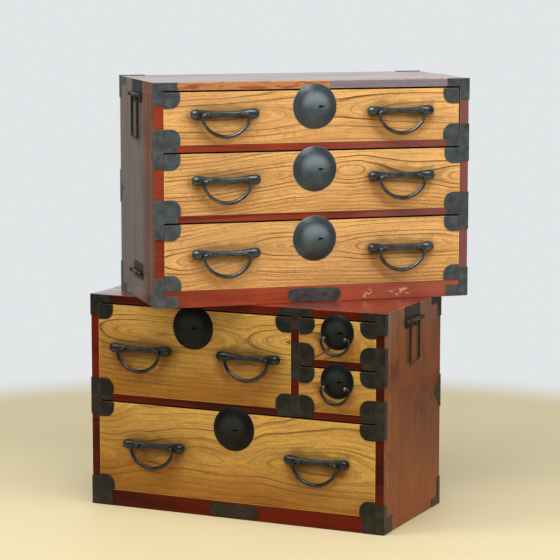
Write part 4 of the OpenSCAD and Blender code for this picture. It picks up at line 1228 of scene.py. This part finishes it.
def handle_bar(bm, x, face, z):
    """A bar with flared ends, its two eyes and the posts that go through the drawer's front."""
    d = sizes()
    half = [Vector((t * MM, 0, r * MM)) for t, r, _ in BAR]
    verts = spun(bm, [Vector((-p.x, 0, p.z)) for p in reversed(half[1:])] + half, (1, 0, 0), steps=32)
    flatness = {t: deep / tall for t, tall, deep in BAR[:-1]}
    for vert in verts:
        vert.co.y *= flatness.get(round(abs(vert.co.x) / MM, 1), 1.0)
    bmesh.ops.translate(bm, vec=(x, face - d.bar_out, z), verts=verts)
    faces = faces_of(verts)
    made = bmesh.ops.bisect_plane(bm, geom=verts + edges_of(faces) + faces, plane_co=(0, face - 0.00005, 0),
                                  plane_no=(0, 1, 0), clear_outer=True)
    bmesh.ops.edgeloop_fill(bm, edges=only(BMEdge, made["geom_cut"]))
    eye, (wide, high) = face - d.bar_out - d.eye_out, EYE_NECK
    for at in (x - d.eye_x, x + d.eye_x):
        ring(bm, Vector((at, eye, z)), (1, 0, 0), d.pin_width / 2 + PIN_ROOM, d.eye_width / 2, *EYE_RING)
        block(bm, (at - wide, eye + 0.003, z - high), (at + wide, face - d.bar_out - 0.003, z + high), 0.0006)
        ring(bm, Vector((at, face + 0.008, z)), (0, 1, 0), *BAR_POST)


class CHEST_OT_handle_bars(bpy.types.Operator):
    """Forged bars that carry the bails, and the small drawers' eyes"""

    bl_idname = "chest.handle_bars"
    bl_label = "Handle bars"

    def execute(self, context):
        for drawer in DRAWERS:
            node = drawer + "_drawer_iron"
            if drawer in SMALL_DRAWERS:
                bm = kept_solids(node, is_eye)
                soften(bm, 0.0006)
                piece(drawer + "_eyes", bm, node, "lower_iron", finish("eyes"))
                continue
            bm = bmesh.new()
            face = square_box(drawer + "_drawer_front")[0].y
            for at in bar_middles(drawer):
                handle_bar(bm, at.x, face, at.z)
            iron_piece(drawer + "_bars", bm, node, "bars", 50)
        return {"FINISHED"}


# Half width, drop and curl of a bail, its wire at pins, curls, flanks and bottom, and where its pins start
SMALL_BAIL = (0.0307, 0.033, 0.005, (0.0042, 0.0046, 0.0056, 0.0066), 0.020)
LARGE_BAIL = (0.0475, 0.045, 0.007, (0.0042, 0.0050, 0.0072, 0.0086), 0.031)
FLANK_SHARE = 0.745


def mirrored(half):
    """Points and radii of a wire from its half on the right, whose last point is in the middle."""
    line = half + [(Vector((-p.x, p.y, p.z)), r) for p, r in reversed(half[:-1])]
    return zip(*line)


def bail_line(a, drop, curl, wires, pin_from):
    """Points and radii of a bail's wire from one pin to the other, hanging below the origin."""
    b = drop - curl
    side = FLANK_SHARE * b
    bottom = ((a - side) ** 2 + b * b - side * side) / (2 * (b - side))
    bend = math.atan2(bottom - b, a - side)
    pin, end, flank, low = (w / 2 for w in wires)
    half = [(Vector((x, 0, 0)), radius) for x, radius in (
        (pin_from, pin * 0.8), (pin_from + 0.0006, pin), (a - curl - 0.0015, pin), (a - curl, end))]
    upper = (end + flank) / 2
    for x, z, radius, start, stop, first, last in (
            (a - curl, -curl, curl, math.pi / 2, 0, end, upper),
            (a - side, -curl, side, 0, -bend, upper, flank),
            (0, bottom - drop, bottom, -bend, -math.pi / 2, flank, low)):
        for i in range(1, 10):
            t = i / 9
            angle = start + (stop - start) * t
            half.append((Vector((x + radius * math.cos(angle), 0, z + radius * math.sin(angle))),
                         first + (last - first) * t * t * (3 - 2 * t)))
    return mirrored(half)


class CHEST_OT_bails(bpy.types.Operator):
    """Bails of the drawers, thick at the bottom and tapered to their curled ends"""

    bl_idname = "chest.bails"
    bl_label = "Drawer bails"

    def execute(self, context):
        for drawer in DRAWERS:
            small = drawer in SMALL_DRAWERS
            names = [drawer + "_bail"] if small else [f"{drawer}_{side}_bail" for side in ("left", "right")]
            for node in names:
                points, radii = bail_line(*(SMALL_BAIL if small else LARGE_BAIL))
                at = joint_place(node + "_swing")
                bm = bmesh.new()
                swept(bm, [p + at for p in points], radii, (0, 1, 0))
                iron_piece(node + "_wire", bm, node, "bails", 60)
        return {"FINISHED"}


CARRY_WIRE = 0.003
CARRY_REACH = 0.0235
CARRY_BEND = 0.010
CARRY_NECK = -0.003


def carrying_wire(at, foot):
    """Points and radii of a carrying bail's wire that hangs from a place down to a height."""
    down = foot + CARRY_WIRE
    neck, knee = at.z + CARRY_NECK, down + CARRY_BEND
    half = [(CARRY_REACH, neck - (neck - knee) * i / 6, 0.92 + 0.08 * i / 6) for i in range(7)]
    for i in range(1, 9):
        angle = math.pi / 2 * i / 8
        y = CARRY_REACH - CARRY_BEND * (1 - math.cos(angle))
        half.append((y, knee - CARRY_BEND * math.sin(angle), 1))
    line = [(-y, z, r) for y, z, r in half] + half[::-1]
    return [Vector((at.x, at.y + y, z)) for y, z, _ in line], [CARRY_WIRE * r for _, _, r in line]


class CHEST_OT_carrying_handles(bpy.types.Operator):
    """Brackets on the sides and the carrying bails that hang from them"""

    bl_idname = "chest.carrying_handles"
    bl_label = "Carrying handles"

    def execute(self, context):
        for case in CASES:
            node = case + "_handle_brackets"
            bm = square_mesh(node)
            soften(bm, 0.0005)
            iron_piece(case + "_side_brackets", bm, node, "brackets")
            for side in ("left", "right"):
                node = f"{case}_{side}_carrying_bail"
                at = joint_place(node + "_swing")
                bm = bmesh.new()
                swept(bm, *carrying_wire(at, square_box(node)[0].z), (1, 0, 0))
                for y in (at.y - CARRY_REACH, at.y + CARRY_REACH):
                    ring(bm, Vector((at.x, y, at.z)), (0, 1, 0), *KNUCKLE)
                iron_piece(f"{case}_{side}_carrying_handle", bm, node, "brackets", 60)
        return {"FINISHED"}


class CHEST_OT_lock_bolts(bpy.types.Operator):
    """Filed steel bolts of the locks"""

    bl_idname = "chest.lock_bolts"
    bl_label = "Lock bolts"

    def execute(self, context):
        for drawer in DRAWERS:
            node = drawer + "_lock_bolt"
            bm = square_mesh(node)
            soften(bm, 0.0003)
            piece(node + "_steel", bm, node, "steel", finish(case_of(drawer) + "_steel"))
        return {"FINISHED"}


# ---- Stage ----

CAMERA_PLACE = Vector((2.0225, -4.2753, 1.1367))
CAMERA_AHEAD = Vector((-0.4220, 0.9066, 0.0))
CAMERA_DOWN = math.radians(7.98)
CAMERA_LENS = 148.0
LAMP_TARGET = Vector((0.03, 0.03, 0.45))
LAMP_DISTANCE = 3.0
# Azimuth and elevation in degrees, width, height, power, and whether a lamp is mirrored in the lacquer
LAMPS = {
    "Ceiling light": (18, 56, 2.2, 1.2, 62, True),
    "Left window": (-48, 32, 1.4, 1.6, 34, False),
    "Left sheen": (-36, 50, 0.9, 1.2, 14, True),
    "Right window": (78, 34, 1.4, 1.6, 48, False),
}
CAMERA_SENSOR = 36.0
FLOOR_RADIUS = 2.4
FLOOR_FADE = (1.25, 1.6)
SKY_TINT = (0.955, 0.985, 1.0, 1)
SKY = 0.45
SKY_SEEN = 0.80


def stand(name, data):
    """Puts an object for some data in the scene."""
    obj = bpy.data.objects.new(name, data)
    bpy.context.scene.collection.objects.link(obj)
    return obj


def look(obj, ahead):
    """Turns a camera or lamp so that it faces ahead."""
    obj.rotation_euler = ahead.to_track_quat("-Z", "Y").to_euler()


def softbox(name, azimuth, elevation, width, height, power, mirrored_too):
    """A large soft lamp that faces the chest."""
    light = bpy.data.lights.new(name, "AREA")
    light.shape, light.size, light.size_y = "RECTANGLE", width, height
    light.energy = power
    lamp = stand(name, light)
    lamp.visible_glossy = mirrored_too
    a, e = math.radians(azimuth), math.radians(elevation)
    back = Vector((math.sin(a) * math.cos(e), -math.cos(a) * math.cos(e), math.sin(e)))
    lamp.location = LAMP_TARGET + back * LAMP_DISTANCE
    look(lamp, -back)


def floor_disc():
    """A plain pale floor that fades out far from the chest."""
    bm = bmesh.new()
    bmesh.ops.create_circle(bm, cap_ends=True, segments=96, radius=FLOOR_RADIUS)
    mesh = bpy.data.meshes.new("floor")
    bm.to_mesh(mesh)
    bm.free()
    s = Surface("pale_floor")
    inputs = s.shader.inputs
    s.put(inputs["Base Color"], s.mix(s.noise(3.0, 3.0), tone("floor", 0.97), tone("floor", 1.03)))
    s.put(inputs["Roughness"], 0.6)
    far = s.add("VectorMath", {0: s.vector}, operation="LENGTH").outputs["Value"]
    s.put(inputs["Alpha"], s.fade(far, *FLOOR_FADE))
    mesh.materials.append(s.material)
    return stand("floor", mesh)


def sky():
    """A plain bright room, which glossy faces mirror darker, but for a glow behind the chest."""
    world = bpy.data.worlds.new("Studio")
    world.use_nodes = True
    s = Shading(world.node_tree)
    path = s.add("LightPath").outputs
    glossy = s.sum("MAXIMUM", path["Is Glossy Ray"], path["Is Transmission Ray"])
    _, y, z = s.parts(s.add("TexCoord").outputs["Generated"])
    glow = s.line(s.times(s.step(y, 0.2, 0.7), s.step(z, 0.0, 0.10)), 0.62, 0.25)
    strength = s.line(glossy, s.minus(glow, SKY), SKY)
    strength = s.line(path["Is Camera Ray"], s.minus(SKY_SEEN, strength), strength)
    background = world.node_tree.nodes["Background"].inputs
    s.put(background["Color"], SKY_TINT)
    s.put(background["Strength"], strength)
    return world


class CHEST_OT_stage(bpy.types.Operator):
    """Plain pale floor, soft lamps and the camera"""

    bl_idname = "chest.stage"
    bl_label = "Stage"

    def execute(self, context):
        scene = context.scene
        data = bpy.data.cameras.new("Camera")
        data.lens, data.sensor_width = CAMERA_LENS, CAMERA_SENSOR
        scene.camera = stand("Camera", data)
        scene.camera.location = CAMERA_PLACE
        look(scene.camera, CAMERA_AHEAD.normalized() * math.cos(CAMERA_DOWN)
             - Vector((0, 0, math.sin(CAMERA_DOWN))))
        floor_disc()
        scene.world = sky()
        for name, settings in LAMPS.items():
            softbox(name, *settings)
        scene.view_settings.view_transform = "Standard"
        return {"FINISHED"}


# ---- Sidebar ----

OPERATORS = (
    CHEST_OT_stage, CHEST_OT_cases, CHEST_OT_inner_boards, CHEST_OT_drawer_fronts, CHEST_OT_straps,
    CHEST_OT_corner_plates, CHEST_OT_lock_plates, CHEST_OT_handle_bars, CHEST_OT_bails,
    CHEST_OT_carrying_handles, CHEST_OT_lock_bolts,
)


class CHEST_PT_panel(bpy.types.Panel):
    """Lists the chest's pieces, sizes and colours"""

    bl_idname = "CHEST_PT_panel"
    bl_label = "Chest of drawers"
    bl_space_type = "VIEW_3D"
    bl_region_type = "UI"
    bl_category = "Chest"

    def draw(self, context):
        for operator in OPERATORS:
            self.layout.operator(operator.bl_idname)
        for group in (context.scene.chest_sizes, context.scene.chest_colours):
            for name in group.bl_rna.properties.keys():
                if name not in ("rna_type", "name"):
                    self.layout.prop(group, name)


CLASSES = (ChestSizes, ChestColours, *OPERATORS, CHEST_PT_panel)


def register():
    """Registers the chest's classes and settings."""
    for cls in CLASSES:
        bpy.utils.register_class(cls)
    bpy.types.Scene.chest_sizes = bpy.props.PointerProperty(type=ChestSizes)
    bpy.types.Scene.chest_colours = bpy.props.PointerProperty(type=ChestColours)


def unregister():
    """Removes the chest's classes and settings."""
    del bpy.types.Scene.chest_colours
    del bpy.types.Scene.chest_sizes
    for cls in reversed(CLASSES):
        bpy.utils.unregister_class(cls)


def main():
    """Builds every piece in order."""
    register()
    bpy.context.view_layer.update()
    bpy.ops.chest.stage()
    bpy.ops.chest.cases()
    bpy.ops.chest.inner_boards()
    bpy.ops.chest.drawer_fronts()
    bpy.ops.chest.straps()
    bpy.ops.chest.corner_plates()
    bpy.ops.chest.lock_plates()
    bpy.ops.chest.handle_bars()
    bpy.ops.chest.bails()
    bpy.ops.chest.carrying_handles()
    bpy.ops.chest.lock_bolts()


if __name__ == "__main__":
    main()
